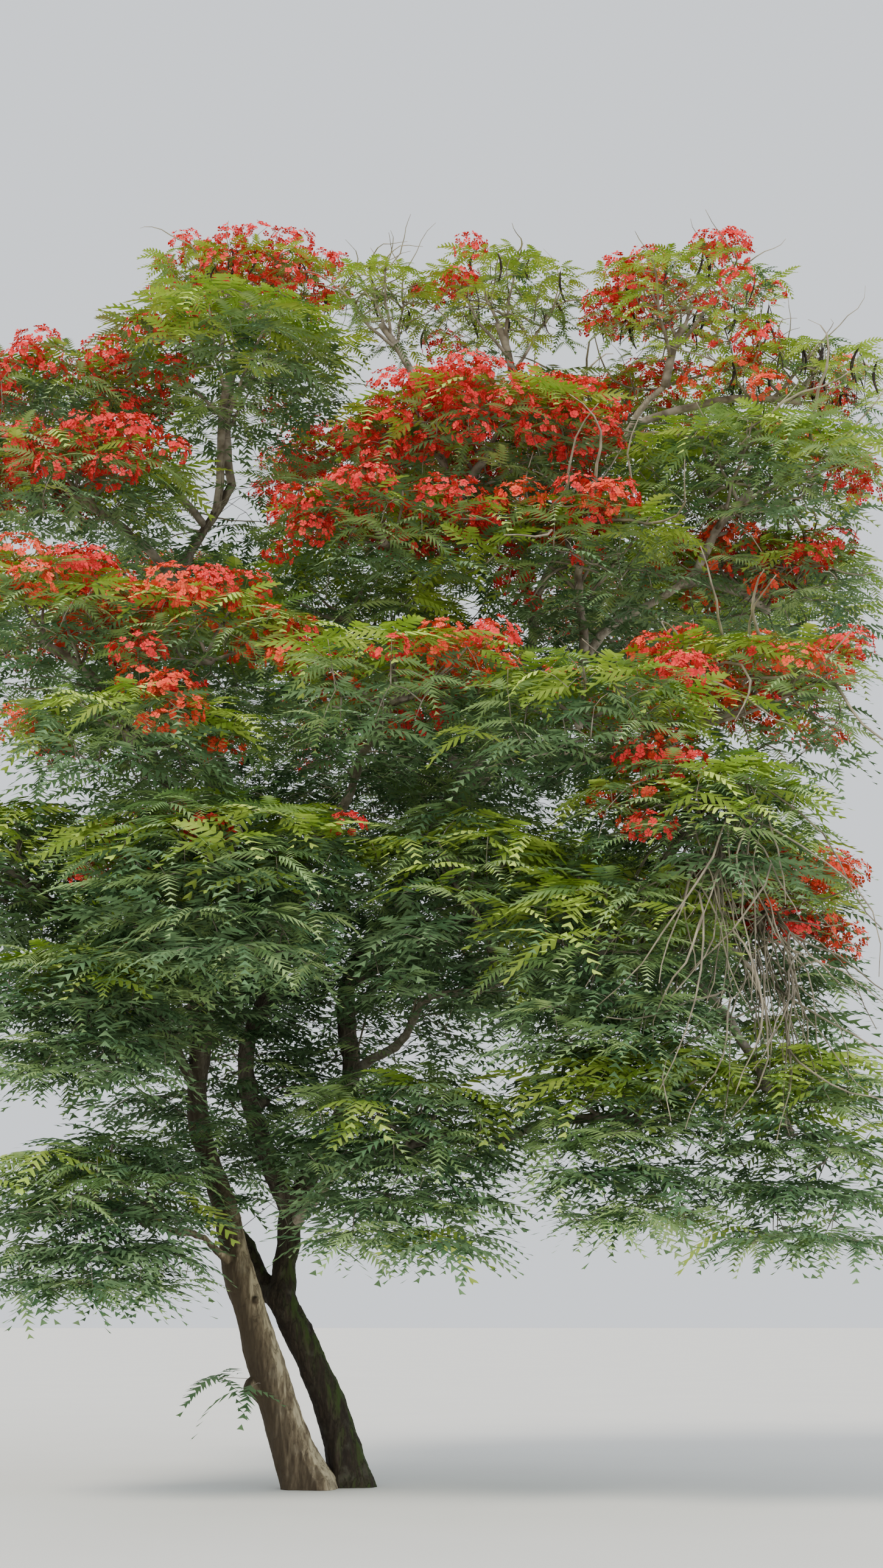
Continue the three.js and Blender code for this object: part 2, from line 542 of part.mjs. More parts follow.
function meshOf(name, solid, colour) {
  const geometry = geometryOf(solid);
  geometry.computeVertexNormals();
  const material = new THREE.MeshStandardMaterial({ color: colour, roughness: 0.9, metalness: 0 });
  const mesh = new THREE.Mesh(geometry, material);
  mesh.name = name;
  return mesh;
}

function makeTree() {
  const tree = new THREE.Group();
  const limbs = makeLimbs();
  const barks = { stem_pale: BARK_PALE, stem_dark: BARK_DARK };
  for (const { name, solid } of limbs) tree.add(meshOf(name, solid, barks[name] ?? BARK_UPPER));

  const plans = planTiers(limbs);
  const limbParts = limbs.flatMap((limb) => capsules(limb.curve, limb.radiusAt, LIMB_PIECES));
  const stemParts = plans.map((plan) => capsules(plan.curve, plan.radiusAt, TIER_STEM_PIECES));
  const taken = [...limbs];
  for (const plan of plans) {
    const others = stemParts.filter((_, index) => index !== plan.index).flat();
    const solid = growTier(plan, taken, [...limbParts, ...others]);
    const colour = LEAF_GREEN.clone().lerp(BLOSSOM_RED, 0.6 * (plan.row.bloom ?? 0));
    tree.add(meshOf(`tier_${plan.name}`, solid, colour));
    taken.push({ keepOut: plan.stem(2 * SEAT_GAP) });
  }
  return tree;
}

export default makeTree();
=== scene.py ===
# Flame tree in flower: the bark of its stems and boughs, and tiers of feathery leaves, blossom and pods
import json
import math

import bpy
import numpy as np
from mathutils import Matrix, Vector, noise

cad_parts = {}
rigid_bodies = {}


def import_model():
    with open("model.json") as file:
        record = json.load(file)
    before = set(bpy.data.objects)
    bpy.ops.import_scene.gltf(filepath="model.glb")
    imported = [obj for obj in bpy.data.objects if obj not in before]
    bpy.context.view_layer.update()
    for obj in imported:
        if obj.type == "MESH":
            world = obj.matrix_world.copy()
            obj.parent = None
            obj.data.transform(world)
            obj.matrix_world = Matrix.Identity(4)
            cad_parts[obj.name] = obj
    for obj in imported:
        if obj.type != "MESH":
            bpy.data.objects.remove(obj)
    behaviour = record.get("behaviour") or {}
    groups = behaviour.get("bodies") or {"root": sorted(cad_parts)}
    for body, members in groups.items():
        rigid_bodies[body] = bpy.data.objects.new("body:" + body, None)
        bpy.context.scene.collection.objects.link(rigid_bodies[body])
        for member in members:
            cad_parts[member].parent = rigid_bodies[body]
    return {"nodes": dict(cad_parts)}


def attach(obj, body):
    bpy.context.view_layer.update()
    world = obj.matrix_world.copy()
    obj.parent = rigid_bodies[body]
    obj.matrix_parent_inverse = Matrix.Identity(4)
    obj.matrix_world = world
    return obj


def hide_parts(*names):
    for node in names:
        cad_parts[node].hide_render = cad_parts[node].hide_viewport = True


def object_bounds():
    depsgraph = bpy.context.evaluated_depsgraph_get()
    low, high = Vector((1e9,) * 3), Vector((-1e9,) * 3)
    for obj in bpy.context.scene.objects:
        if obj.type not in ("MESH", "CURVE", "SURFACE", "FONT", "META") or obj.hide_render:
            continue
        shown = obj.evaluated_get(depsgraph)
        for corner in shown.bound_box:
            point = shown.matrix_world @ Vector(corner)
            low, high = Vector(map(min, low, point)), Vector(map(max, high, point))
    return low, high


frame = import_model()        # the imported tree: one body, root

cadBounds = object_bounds()
tierNodes = sorted(node for node in frame["nodes"] if node.startswith("tier_"))

# Growth rule, the same one and the same sizes that the solids grow by, in metres and degrees
goldenAngle = math.pi * (3 - math.sqrt(5))
rule = dict(
    # a limb winds a little: how wide in shares of its chord, how often, and how much faster it bobs
    winding=0.03, windings=1.6, bobbing=1.3,
    flareHeight=0.4, flare=0.45, flareLobe=0.2, lobes=4, footDepth=0.3,   # the foot of a stem
    tierStem=(0.066, 0.056), tierStemBow=(0.12, 0.1), tierStemSway=(0.06, -0.05),
    hubDrop=0.35, tierDome=0.5, tierSkirt=1.2,   # of a tier's space, in shares of its reach
    spaceGap=0.006, limbGap=0.012, gapMarks=7,   # clearances, and in how many places of an arm they are taken
    # arms: their radius, metres between two roots, where the roots start and end on the stem, how many
    # there are, where their tips lie, and the places that have to be inside the tier's space
    arm=(0.024, 0.021), armSpacing=0.17, firstRoot=0.4, lastRoot=0.4, armsLeast=3.4, armsPerArea=0.75,
    armReach=0.74, armRise=0.82, armFall=1.1, armJitter=0.1, armMarks=(0.5, 0.75, 1.0),
    limbPieces=8, tierStemPieces=4,   # straight pieces that stand for each where gaps are measured
)

# Limbs. The stems stand on the ground, and each of the others leaves a limb at a share of its length. They
# run out along their heading and rise, and bend up by their bow and to the left by their sway
limbRows = {
    "stem_pale": dict(foot=(0, 0), heading=180, run=1.03, rise=2.9, bow=(-0.1, 0), thick=(0.27, 0.21)),
    "stem_dark": dict(foot=(0.53, 0.35), heading=183, run=0.97, rise=2.45, bow=(0.2, 0.1),
                      thick=(0.23, 0.19)),
}
limbTerms = ("on", "at", "heading", "run", "rise", "thick", "bow", "sway")
limbRows.update({name: dict(zip(limbTerms, terms)) for name, *terms in (
    ("fork_right", "stem_dark", 1, 62, 0.23, 1.2, (0.17, 0.15), (-0.1, 0)),
    ("fork_left", "stem_dark", 0.97, 143, 1.65, 2.8, (0.13, 0.08), (-0.5, -0.3)),
    ("leader_left", "stem_pale", 1, 151, 0.6, 6.9, (0.16, 0.11), (-0.7, -0.35)),
    ("leader_middle", "fork_right", 1, -64, 0.22, 3.8, (0.14, 0.09), (0, 0), (-0.95, -0.9)),
    ("leader_right", "fork_right", 0.96, 0, 2.5, 6, (0.14, 0.11), (-0.5, 1.4)),
    ("bough_crown", "leader_left", 1, -55, 0.37, 4.3, (0.1, 0.06), (0.4, 0.7), (-0.4, -0.7)),
    ("bough_left_front", "leader_left", 0.8, -109, 3.3, 1.8, (0.08, 0.05), (0.3, 0.5), (0.2, -0.2)),
    ("bough_left_low", "leader_left", 0.35, -126, 2.2, 1.6, (0.07, 0.045), (0.2, 0.3), (0, 0.2)),
    ("bough_foot_left", "stem_pale", 0.95, -136, 1.6, 0.65, (0.06, 0.04), (0.3, 0.15)),
    ("bough_front", "leader_middle", 1, -73, 3.8, 1.9, (0.085, 0.05), (0.2, 0.9), (-0.4, 0.3)),
    ("bough_centre", "leader_right", 1, -104, 1.1, 3.7, (0.09, 0.055), (0, 0), (-0.5, -0.6)),
    ("bough_top", "leader_right", 0.97, 6, 1, 5, (0.1, 0.06), (-0.5, -0.8)),
    ("bough_top_right", "bough_top", 0.6, -21, 2.1, 3.2, (0.065, 0.045), (0.1, 0.4)),
    ("bough_right", "leader_right", 0.88, -19, 4.1, 3.4, (0.09, 0.05), (-0.3, 0.5), (0.2, 0)),
    ("bough_right_front", "leader_right", 0.8, -48, 4.9, 0.6, (0.09, 0.05), (0.9, 0.9), (-0.3, 0.3)),
    ("bough_right_low", "leader_right", 0.5, -41, 5.2, 0.6, (0.09, 0.05), (0.5, 0.8), (0.4, -0.4)),
    ("bough_centre_low", "leader_right", 0.3, -53, 3.9, 1.1, (0.07, 0.045), (0.3, 0.5), (-0.2, 0.3)),
    ("bough_foot_right", "fork_right", 0.8, -36, 3.5, 1, (0.075, 0.045), (0.6, 0.5)),
    ("bough_back_left", "leader_middle", 0.88, 129, 2.9, 5.2, (0.085, 0.05), (-0.6, 0.3)),
    ("bough_back_right", "leader_right", 0.7, 47, 3.4, 3.7, (0.09, 0.05), (0, 0.6)),
)})

# Tiers: the middle of each lies so far out and up from the place where its stem leaves a limb. Then its
# reach along x, y and z, the share of its arms that flower and how rich it is in pods
tierTerms = ("on", "at", "heading", "run", "rise", "reach", "bloom", "pods")
tierRows = {name: dict(zip(tierTerms, terms)) for name, *terms in (
    ("crown_arch", "bough_crown", 1, 80, 0.3, 3.4, (1.6, 1.2, 0.5), 0.9, 2),
    ("left_dome", "bough_crown", 0.9, -77, 1.2, 1.9, (1.9, 2, 0.9), 0.15),
    ("left_shoulder", "bough_crown", 0.85, -157, 2.2, 1.5, (1.6, 1.6, 0.75), 0.6),
    ("left_shelf", "bough_crown", 0.6, -121, 2.5, 1, (1.9, 1.5, 0.55), 0.8),
    ("middle_top", "bough_centre", 0.95, 169, 1, 3.7, (0.9, 1, 0.8), 0.5, 1),
    ("bloom_dome", "bough_centre", 1, -60, 0.9, 0.9, (2.1, 2, 0.8), 1),
    ("bloom_skirt", "bough_centre", 0.7, -103, 2.4, 0.3, (1.6, 1.3, 0.55), 0.7),
    ("crown_middle", "bough_top", 1, -147, 0.4, 2.7, (1.4, 1.4, 0.9), 0.2, 2),
    ("crown_right", "bough_top_right", 1, -53, 0.5, 1.1, (1.6, 1.5, 0.85), 0.6, 2),
    ("right_middle", "bough_top", 0.94, 42, 1.8, 1.7, (2, 1.6, 0.75), 0.3),
    ("right_reach", "bough_top_right", 0.8, -13, 2.5, 0.4, (1.6, 1.2, 0.7), 0.4, 5),
    ("right_slope", "bough_right", 1, -16, 0.8, 1.4, (2, 1.8, 0.8), 0.4),
    ("right_heart", "bough_right", 0.6, -94, 1.5, 1.3, (1.5, 1.4, 0.75), 0.6),
    ("right_side", "bough_right", 0.95, 42, 1.9, 0.3, (1.8, 1.8, 0.85), 0.4),
    ("left_front", "bough_left_front", 1, -135, 1, 0.7, (1.7, 1.7, 0.75), 0.8),
    ("left_fore", "bough_left_front", 0.8, -55, 2.3, 0.5, (1.4, 1.4, 0.7), 0.7),
    ("left_skirt", "bough_left_front", 0.95, -72, 2, -1, (1.6, 1.3, 0.5), 0.4),
    ("centre_front", "bough_front", 1, -73, 1.4, 0.4, (1.6, 1.5, 0.6), 0.6),
    ("centre_heart", "bough_centre", 0.4, -143, 1.8, 0.9, (1.8, 1.6, 0.65), 0.2),
    ("right_front", "bough_right_front", 0.8, -104, 2.3, 0, (1.7, 1.6, 0.6), 0.2),
    ("right_bloom", "bough_right_front", 1, 5, 1.1, 0.9, (1.7, 1.6, 0.7), 0.7),
    ("right_tangle", "bough_right_low", 1, -70, 1.5, 0.8, (1.6, 1.4, 0.7), 0.3),
    ("right_low", "bough_right_low", 0.93, 17, 2, 0, (1.3, 1.5, 0.9), 0.5),
    ("centre_left_low", "bough_front", 0.3, -105, 3.3, -0.6, (2, 1.6, 0.75), 0.3),
    ("centre_low", "bough_centre_low", 0.8, -105, 1.5, 1.2, (1.5, 1.4, 0.8)),
    ("centre_right_low", "bough_centre_low", 1, -47, 1.4, 0.3, (1.6, 1.5, 0.8)),
    ("left_low", "bough_left_low", 1, -155, 1.2, 1.3, (1.4, 1.4, 0.65)),
    ("left_lower", "bough_left_low", 0.93, -87, 1.4, -0.6, (1.4, 1.4, 0.6)),
    ("foot_left", "bough_foot_left", 1, -124, 0.9, 0.4, (1.6, 1.4, 0.7)),
    ("foot_middle", "bough_foot_right", 0.93, -136, 1.4, 0.1, (1.5, 1.3, 0.8)),
    ("foot_right", "bough_foot_right", 1, -37, 2.2, 0.4, (1.7, 1.4, 0.8)),
    ("foot_far_right", "bough_right_low", 0.85, -8, 2.5, -2.9, (1.4, 1.3, 0.9)),
    ("back_left", "bough_back_left", 1, 114, 1.1, 1.1, (2.3, 1.8, 0.95), 0.4),
    ("back_low_left", "fork_left", 1, 107, 2, 3, (2.1, 1.7, 0.95), 0.1),
    ("back_top", "bough_top", 0.8, 132, 3.1, 1.9, (2.2, 1.6, 0.9), 0.5),
    ("back_right", "bough_back_right", 1, 23, 2.3, 1.8, (2.4, 1.8, 1), 0.4),
    ("back_middle", "bough_back_right", 0.6, 124, 2.6, 1.4, (2.3, 1.7, 1), 0.3),
    ("back_low_right", "leader_right", 0.42, 43, 4.4, 2.4, (2.3, 1.7, 0.95), 0.1),
)}


# Each thing that grows throws its own dice: the seed is its number times the first, plus the second
seeds = dict(
    arms=(977, 31), bloom=(389, 17), tierTwigs=(613, 7), boughTwigs=(307, 19), leaves=(7919, 5),
    clusters=(1543, 29), flowers=(1549, 23), boughBare=(211, 3), tierBare=(431, 11), pods=(677, 13),
)
diceStep = (1664525, 1013904223, 2**32)   # a common linear congruential generator


def dice(kind, number, extra=0):
    times, plus, size = diceStep
    state = seeds[kind][0] * number + seeds[kind][1] + extra

    def roll():
        nonlocal state
        state = (state * times + plus) % size
        return state / size

    return roll


def between(roll, low, high):
    return low + (high - low) * roll()


def spread(roll, width):  # as far to one side of nothing as to the other
    return between(roll, -width, width)


def mix(pair, share):
    return pair[0] + (pair[1] - pair[0]) * share


def headingOf(angle):
    return np.array([math.cos(angle), math.sin(angle), 0.0])


def bentLine(start, end, bow, sway, winding=0.0, turn=0.0):  # gives the point at any share of the line
    chord = end - start
    run = math.hypot(chord[0], chord[1])
    out = np.array([chord[0] / run, chord[1] / run, 0.0])
    left = np.array([-out[1], out[0], 0.0])
    lift = np.array([0.0, 0.0, run]) - out * chord[2]
    lift /= np.linalg.norm(lift)
    pulls = [start + chord * (half + 1) / 3 + lift * bow[half] + left * sway[half] for half in (0, 1)]
    width = winding * np.linalg.norm(chord)

    def pointAt(share):
        s = np.atleast_1d(np.asarray(share, float))[:, None]
        wave = turn + s * rule["windings"] * 2 * math.pi
        swing = width * np.sin(math.pi * s)
        plain = (1 - s)**3 * start + 3 * s * (1 - s)**2 * pulls[0]
        plain = plain + 3 * s**2 * (1 - s) * pulls[1] + s**3 * end
        points = plain + left * swing * np.sin(wave) + lift * swing * np.cos(rule["bobbing"] * wave)
        return points if np.ndim(share) else points[0]

    return pointAt


def lengthOf(line, pieces=200):
    points = line(np.linspace(0, 1, pieces + 1))
    return float(np.linalg.norm(np.diff(points, axis=0), axis=1).sum())


def offsetFrom(start, row):
    return start + headingOf(math.radians(row["heading"])) * row["run"] + np.array([0, 0, row["rise"]])


def limbRadius(row, share):  # without the lobes of the foot
    start, tip = row["thick"]
    plain = max(tip, start + (tip - start) * share)
    if "foot" not in row:
        return plain
    length = math.hypot(row["run"], row["rise"])
    return plain * (1 + rule["flare"] * math.exp(-max(0, share * length) / rule["flareHeight"]))


def planLimbs():
    limbs = {}
    for order, (name, row) in enumerate(limbRows.items()):
        start = np.array([*row["foot"], 0.0]) if "foot" in row else limbs[row["on"]]["line"](row["at"])
        winding = 0 if "foot" in row else rule["winding"]
        line = bentLine(start, offsetFrom(start, row), row.get("bow", (0, 0)), row.get("sway", (0, 0)),
                        winding, order * goldenAngle)
        limbs[name] = dict(name=name, row=row, line=line, length=lengthOf(line))
    return limbs


def planTiers(limbs):
    tiers = []
    for order, (name, row) in enumerate(tierRows.items()):
        start = limbs[row["on"]]["line"](row["at"])
        middle = offsetFrom(start, row)
        reach = np.array(row["reach"], float)
        hub = middle - np.array([0, 0, rule["hubDrop"] * reach[2]])
        straight = np.linalg.norm(hub - start)
        line = bentLine(start, hub, [part * straight for part in rule["tierStemBow"]],
                        [part * straight for part in rule["tierStemSway"]])
        tiers.append(dict(name=name, row=row, order=order, middle=middle, reach=reach, line=line,
                          length=lengthOf(line), walls=[]))
    for tier in tiers:
        for other in tiers:
            apart = other["middle"] - tier["middle"]
            both = tier["reach"] + other["reach"]
            if other is not tier and np.all(np.abs(apart) < both):
                normal = apart / both**2
                normal /= np.linalg.norm(normal)
                sizes = [np.linalg.norm(one["reach"]) for one in (tier, other)]
                point = tier["middle"] + apart * sizes[0] / sum(sizes)
                tier["walls"].append((normal, float(normal @ point)))
    return tiers


def inSpace(tier, points, margin=0.0, skirt=rule["tierSkirt"]):
    # inside a dome over a flat underside, less what lies beyond the walls to the tier's neighbours
    points = np.atleast_2d(points)
    away = (points - tier["middle"]) / (tier["reach"] + margin)
    out = np.hypot(away[:, 0], away[:, 1])
    fits = (out < 1) & (away[:, 2] < 1 - rule["tierDome"] * out**2) & (away[:, 2] > -skirt)
    for normal, level in tier["walls"]:
        fits &= points @ normal - level < margin - rule["spaceGap"]
    return fits


def straightPieces(line, radiusAt, pieces):  # one row a piece: its two ends and its radius
    ends = line(np.arange(pieces + 1) / pieces)
    radii = [radiusAt(piece / pieces) for piece in range(pieces)]
    return np.column_stack([ends[:-1], ends[1:], radii])


def gapsTo(obstacles, points):  # from each point to the surface of each obstacle
    start, along = obstacles[:, :3], obstacles[:, 3:6] - obstacles[:, :3]
    away = points[:, None, :] - start
    share = np.clip((away * along).sum(2) / (along * along).sum(1), 0, 1)
    return np.linalg.norm(away - share[:, :, None] * along, axis=2) - obstacles[:, 6]


def clearOf(obstacles, root, tip, radius):
    points = root + (tip - root) * (np.arange(rule["gapMarks"]) / (rule["gapMarks"] - 1))[:, None]
    return bool(np.all(gapsTo(obstacles, points) > radius + rule["limbGap"]))


def armsOf(tier, obstacles):  # the same arms as the solids have
    roll = dice("arms", tier["order"])
    flowering = dice("bloom", tier["order"])
    reach = tier["reach"]
    count = math.floor(rule["armsLeast"] + rule["armsPerArea"] * reach[0] * reach[1] + 0.5)
    turn = roll() * math.pi
    arms = []
    for i in range(count):
        out = rule["armReach"] * math.sqrt((i + 0.5) / count)
        rise = rule["armRise"] - rule["armFall"] * out * out + spread(roll, rule["armJitter"])
        blooms = flowering() < tier["row"].get("bloom", 0)
        tip = tier["middle"] + reach * (headingOf(turn + i * goldenAngle) * out + np.array([0, 0, rise]))
        back = rule["armSpacing"] * (i + rule["firstRoot"]) / tier["length"]
        root = tier["line"](max(rule["lastRoot"], 1 - back))
        marks = root + (tip - root) * np.array(rule["armMarks"])[:, None]
        if inSpace(tier, marks).all() and clearOf(obstacles, root, tip, rule["arm"][0]):
            arms.append(dict(root=root, tip=tip, blooms=blooms))
    return arms


limbs = planLimbs()
tiers = planTiers(limbs)
limbPieces = np.vstack([straightPieces(
    limb["line"], lambda share, row=limb["row"]: limbRadius(row, share), rule["limbPieces"])
    for limb in limbs.values()])
for tier in tiers:
    tier["pieces"] = straightPieces(tier["line"], lambda share: mix(rule["tierStem"], share),
                                    rule["tierStemPieces"])
for tier in tiers:
    others = [other["pieces"] for other in tiers if other is not tier]
    tier["obstacles"] = np.vstack([limbPieces, *others])
    tier["arms"] = armsOf(tier, tier["obstacles"])
armCount = sum(len(tier["arms"]) for tier in tiers)
print("growth rule:", len(limbs), "limbs,", len(tiers), "tiers,", armCount, "arms")


# Materials
def linearColour(code):  # an sRGB hex value to linear
    parts = [int(code[i:i + 2], 16) / 255 for i in (1, 3, 5)]
    return [part / 12.92 if part <= 0.04045 else ((part + 0.055) / 1.055)**2.4 for part in parts] + [1.0]


def addNode(tree, kind, inputs=None, stops=(), **settings):
    node = tree.nodes.new(kind)
    for name, value in settings.items():
        setattr(node, name, value)
    for socket, value in (inputs or {}).items():
        if isinstance(value, bpy.types.NodeSocket):
            tree.links.new(value, node.inputs[socket])
        else:
            node.inputs[socket].default_value = value
    points = node.color_ramp.elements if stops else []   # stops are the places and colours of a ramp
    while len(points) < len(stops):
        points.new(0.5)
    for point, (place, code) in zip(points, stops):
        point.position = place
        point.color = linearColour(code)
    return node


def newMaterial(name, roughness):
    material = bpy.data.materials.new(name)
    material.use_nodes = True
    shader = material.node_tree.nodes["Principled BSDF"]
    shader.inputs["Roughness"].default_value = roughness
    return material, material.node_tree, shader


# What the three barks have in common, where noise runs from 0 to 1
barkDetail = dict(
    streakShare=0.45,           # of the grain, the rest of which is fibre
    lichenNoise=(0.55, 0.68),   # patches between which lichen goes from none to all
    sideNoise=(0.4, 0.6),       # streaks between which a stem's side colour does
    sideFade=0.8,               # metres under its top in which that colour comes in
    crackNoise=(0.5, 0.003),    # the streaks that crack open, and half the width of a crack's dark core
    ringsPerScale=6, bump=0.9, gloss=0.25,
)


def barkMaterial(name, **look):
    material, tree, shader = newMaterial(name, look["roughness"])
    place = addNode(tree, "ShaderNodeTexCoord").outputs["Object"]
    height = addNode(tree, "ShaderNodeSeparateXYZ", {"Vector": place}).outputs["Z"]
    normal = addNode(tree, "ShaderNodeNewGeometry").outputs["Normal"]
    toRight = addNode(tree, "ShaderNodeSeparateXYZ", {"Vector": normal}).outputs["X"]
    drawn = addNode(tree, "ShaderNodeMapping", {"Vector": place, "Scale": (1, 1, look["stretch"])}).outputs[0]
    fibre = addNode(tree, "ShaderNodeTexNoise", {
        "Vector": drawn, "Scale": 1000 / look["fibre"], "Detail": 6, "Roughness": 0.65}).outputs["Fac"]
    streak = addNode(tree, "ShaderNodeTexNoise", {
        "Vector": drawn, "Scale": 1000 / look["streak"], "Detail": 3, "Distortion": 0.6}).outputs["Fac"]
    patch = addNode(tree, "ShaderNodeTexNoise", {
        "Vector": place, "Scale": 1000 / look["patch"], "Detail": 4, "Roughness": 0.6}).outputs["Fac"]
    rings = addNode(tree, "ShaderNodeTexWave", {
        "Vector": place, "Scale": 1000 / look["ring"] / barkDetail["ringsPerScale"], "Distortion": 6,
        "Detail": 3, "Detail Scale": 2}, bands_direction="Z").outputs["Fac"]
    grain = addNode(tree, "ShaderNodeMix", {
        "Factor": barkDetail["streakShare"], "A": fibre, "B": streak}).outputs["Result"]

    middle, core = barkDetail["crackNoise"]
    away = addNode(tree, "ShaderNodeMath", {0: streak, 1: middle}, operation="SUBTRACT").outputs[0]
    away = addNode(tree, "ShaderNodeMath", {0: away}, operation="ABSOLUTE").outputs[0]

    # how far each colour covers the ones under it: what that follows, and from where to where it goes; the
    # last is painted shade on the side that faces left
    terms = ("Value", "From Min", "From Max", "To Min", "To Max")
    top = look["sideTop"]
    climbed, spotted, amount, broken, below, cracks, shaded = (
        addNode(tree, "ShaderNodeMapRange", dict(zip(terms, values))).outputs[0] for values in (
            (height, *look["changes"]),
            (patch, *barkDetail["lichenNoise"], 0, look["lichenAmount"]),
            (toRight, look["sideFrom"], look["sideTo"]),
            (streak, *barkDetail["sideNoise"]),
            (height, top, top - barkDetail["sideFade"]),
            (away, core, look["crackWidth"], look["crackAmount"], 0),
            (toRight, look["darkFrom"], look["darkTo"], 0, look["darkAmount"])))
    for share in (broken, below):
        amount = addNode(tree, "ShaderNodeMath", {0: amount, 1: share}, operation="MULTIPLY").outputs[0]

    colour, high = (addNode(tree, "ShaderNodeValToRGB", {"Fac": grain}, stops=look[term]).outputs["Color"]
                    for term in ("low", "high"))
    covers = (high, *(linearColour(look[term]) for term in ("lichen", "sideColour", "crack", "dark")))
    for share, cover in zip((climbed, spotted, amount, cracks, shaded), covers):
        colour = addNode(tree, "ShaderNodeMix", {0: share, 6: colour, 7: cover}, data_type="RGBA").outputs[2]
    tree.links.new(colour, shader.inputs["Base Color"])

    relief = addNode(tree, "ShaderNodeMix", {
        "Factor": look["ringShare"], "A": grain, "B": rings}).outputs["Result"]
    bump = addNode(tree, "ShaderNodeBump", {
        "Height": relief, "Strength": barkDetail["bump"], "Distance": look["depth"] / 1000})
    tree.links.new(bump.outputs["Normal"], shader.inputs["Normal"])
    shader.inputs["Specular IOR Level"].default_value = barkDetail["gloss"]
    return material


# Fibre, streak, patch and ring are real widths in millimetres, and depth is the bump's. Low and high are the
# grain's colours under and over the heights in changes; on the stems the low grain is partly the old bark's
# own darker colour and partly painted shade under the crown. The side colour lies on a stem's right, painted
# light on the pale stem and moss on the dark one, and the painted shade lies on its left, between the two
# slopes given for each.
# Old outer bark of the main stem: dry and tan-grey, with painted light as a cream streak down its right edge
# and painted shade on its left
barkPale = barkMaterial(
    "paleStemBark", roughness=0.9,
    stretch=0.16, fibre=26, streak=95, patch=260, ring=60, ringShare=0.2, depth=14,
    low=((0.3, "#483c2e"), (0.5, "#74664f"), (0.7, "#94866c")),
    high=((0.3, "#5a5246"), (0.5, "#857b6a"), (0.72, "#a59b88")),
    changes=(3.2, 6.0), lichen="#8f8670", lichenAmount=0.4,
    sideFrom=0.3, sideTo=0.75, sideTop=3.8, sideColour="#b9ab8a",
    crack="#3a2f24", crackWidth=0.02, crackAmount=0.55,
    darkFrom=0.5, darkTo=-0.25, dark="#3a3024", darkAmount=0.88)

# Rough damp bark of the second stem: near black, low down partly painted shade, its right side green with
# moss and its left darkened by painted shade
barkDark = barkMaterial(
    "mossyStemBark", roughness=0.95,
    stretch=0.22, fibre=30, streak=110, patch=220, ring=70, ringShare=0.15, depth=20,
    low=((0.3, "#1d1914"), (0.52, "#383026"), (0.75, "#574d3f")),
    high=((0.3, "#544b3f"), (0.5, "#7d7364"), (0.72, "#9d9381")),
    changes=(3.0, 5.2), lichen="#6a6a58", lichenAmount=0.25,
    sideFrom=-0.1, sideTo=0.6, sideTop=3.8, sideColour="#38461f",
    crack="#14110d", crackWidth=0.03, crackAmount=0.6,
    darkFrom=0.0, darkTo=-0.9, dark="#231d17", darkAmount=0.6)

# Younger bark of the boughs: smoother, grey-brown, ringed and spotted with pale lichen, with painted shade on
# the sides that face left
boughGrain = ((0.3, "#6a6052"), (0.5, "#978c7a"), (0.72, "#b5ab97"))
barkBough = barkMaterial(
    "boughBark", roughness=0.85,
    stretch=0.7, fibre=34, streak=120, patch=150, ring=45, ringShare=0.35, depth=8,
    low=boughGrain, high=boughGrain, changes=(8.0, 14.0), lichen="#c6c0ad", lichenAmount=0.6,
    sideFrom=0.6, sideTo=1.2, sideTop=0.0, sideColour="#6f7444",
    crack="#40382d", crackWidth=0.015, crackAmount=0.35,
    darkFrom=-0.5, darkTo=-1.4, dark="#3f382e", darkAmount=0.4)


softDetail = dict(driftNoise=(0.35, 0.65), bump=0.4)   # noise between which a spray's colour drifts


def softMaterial(name, **look):  # drift and grain are real widths in millimetres, and depth is the bump's
    material, tree, shader = newMaterial(name, look["roughness"])
    place = addNode(tree, "ShaderNodeTexCoord").outputs["Object"]
    drift, fine = (addNode(tree, "ShaderNodeTexNoise", {
        "Vector": place, "Scale": 1000 / look[size], "Detail": 2}).outputs["Fac"]
        for size in ("drift", "grain"))
    stops = list(zip(softDetail["driftNoise"], look["colours"]))
    colour = addNode(tree, "ShaderNodeValToRGB", {"Fac": drift}, stops=stops).outputs["Color"]
    tree.links.new(colour, shader.inputs["Base Color"])
    bump = addNode(tree, "ShaderNodeBump", {
        "Height": fine, "Strength": softDetail["bump"], "Distance": look["depth"] / 1000})
    tree.links.new(bump.outputs["Normal"], shader.inputs["Normal"])
    shader.inputs["Specular IOR Level"].default_value = look["gloss"]
    return material


# Leaflets: thin and dull, so the light gives them a soft edge; each green drifts between two near tones, and
# the three
# greens are painted light: the same leaflets in sun, in half shade and in shade
leafSun = softMaterial(
    "leafletsInSun", roughness=0.65, drift=500, grain=9, depth=2, gloss=0.12, colours=("#9bba49", "#bfd262"))
leafGreen = softMaterial(
    "leafletsGrown", roughness=0.65, drift=600, grain=9, depth=2, gloss=0.15, colours=("#7b9c60", "#a3bb76"))
leafShade = softMaterial(
    "leafletsInShade", roughness=0.65, drift=700, grain=9, depth=2, gloss=0.15,
    colours=("#557650", "#789365"))
# Petals: crinkled and matte, scarlet when open and more orange when new
petalScarlet = softMaterial(
    "petalsScarlet", roughness=0.7, drift=120, grain=6, depth=2, gloss=0.15, colours=("#cf262c", "#ea4340"))
petalOrange = softMaterial(
    "petalsOrange", roughness=0.7, drift=120, grain=6, depth=2, gloss=0.15, colours=("#e23a29", "#f16443"))
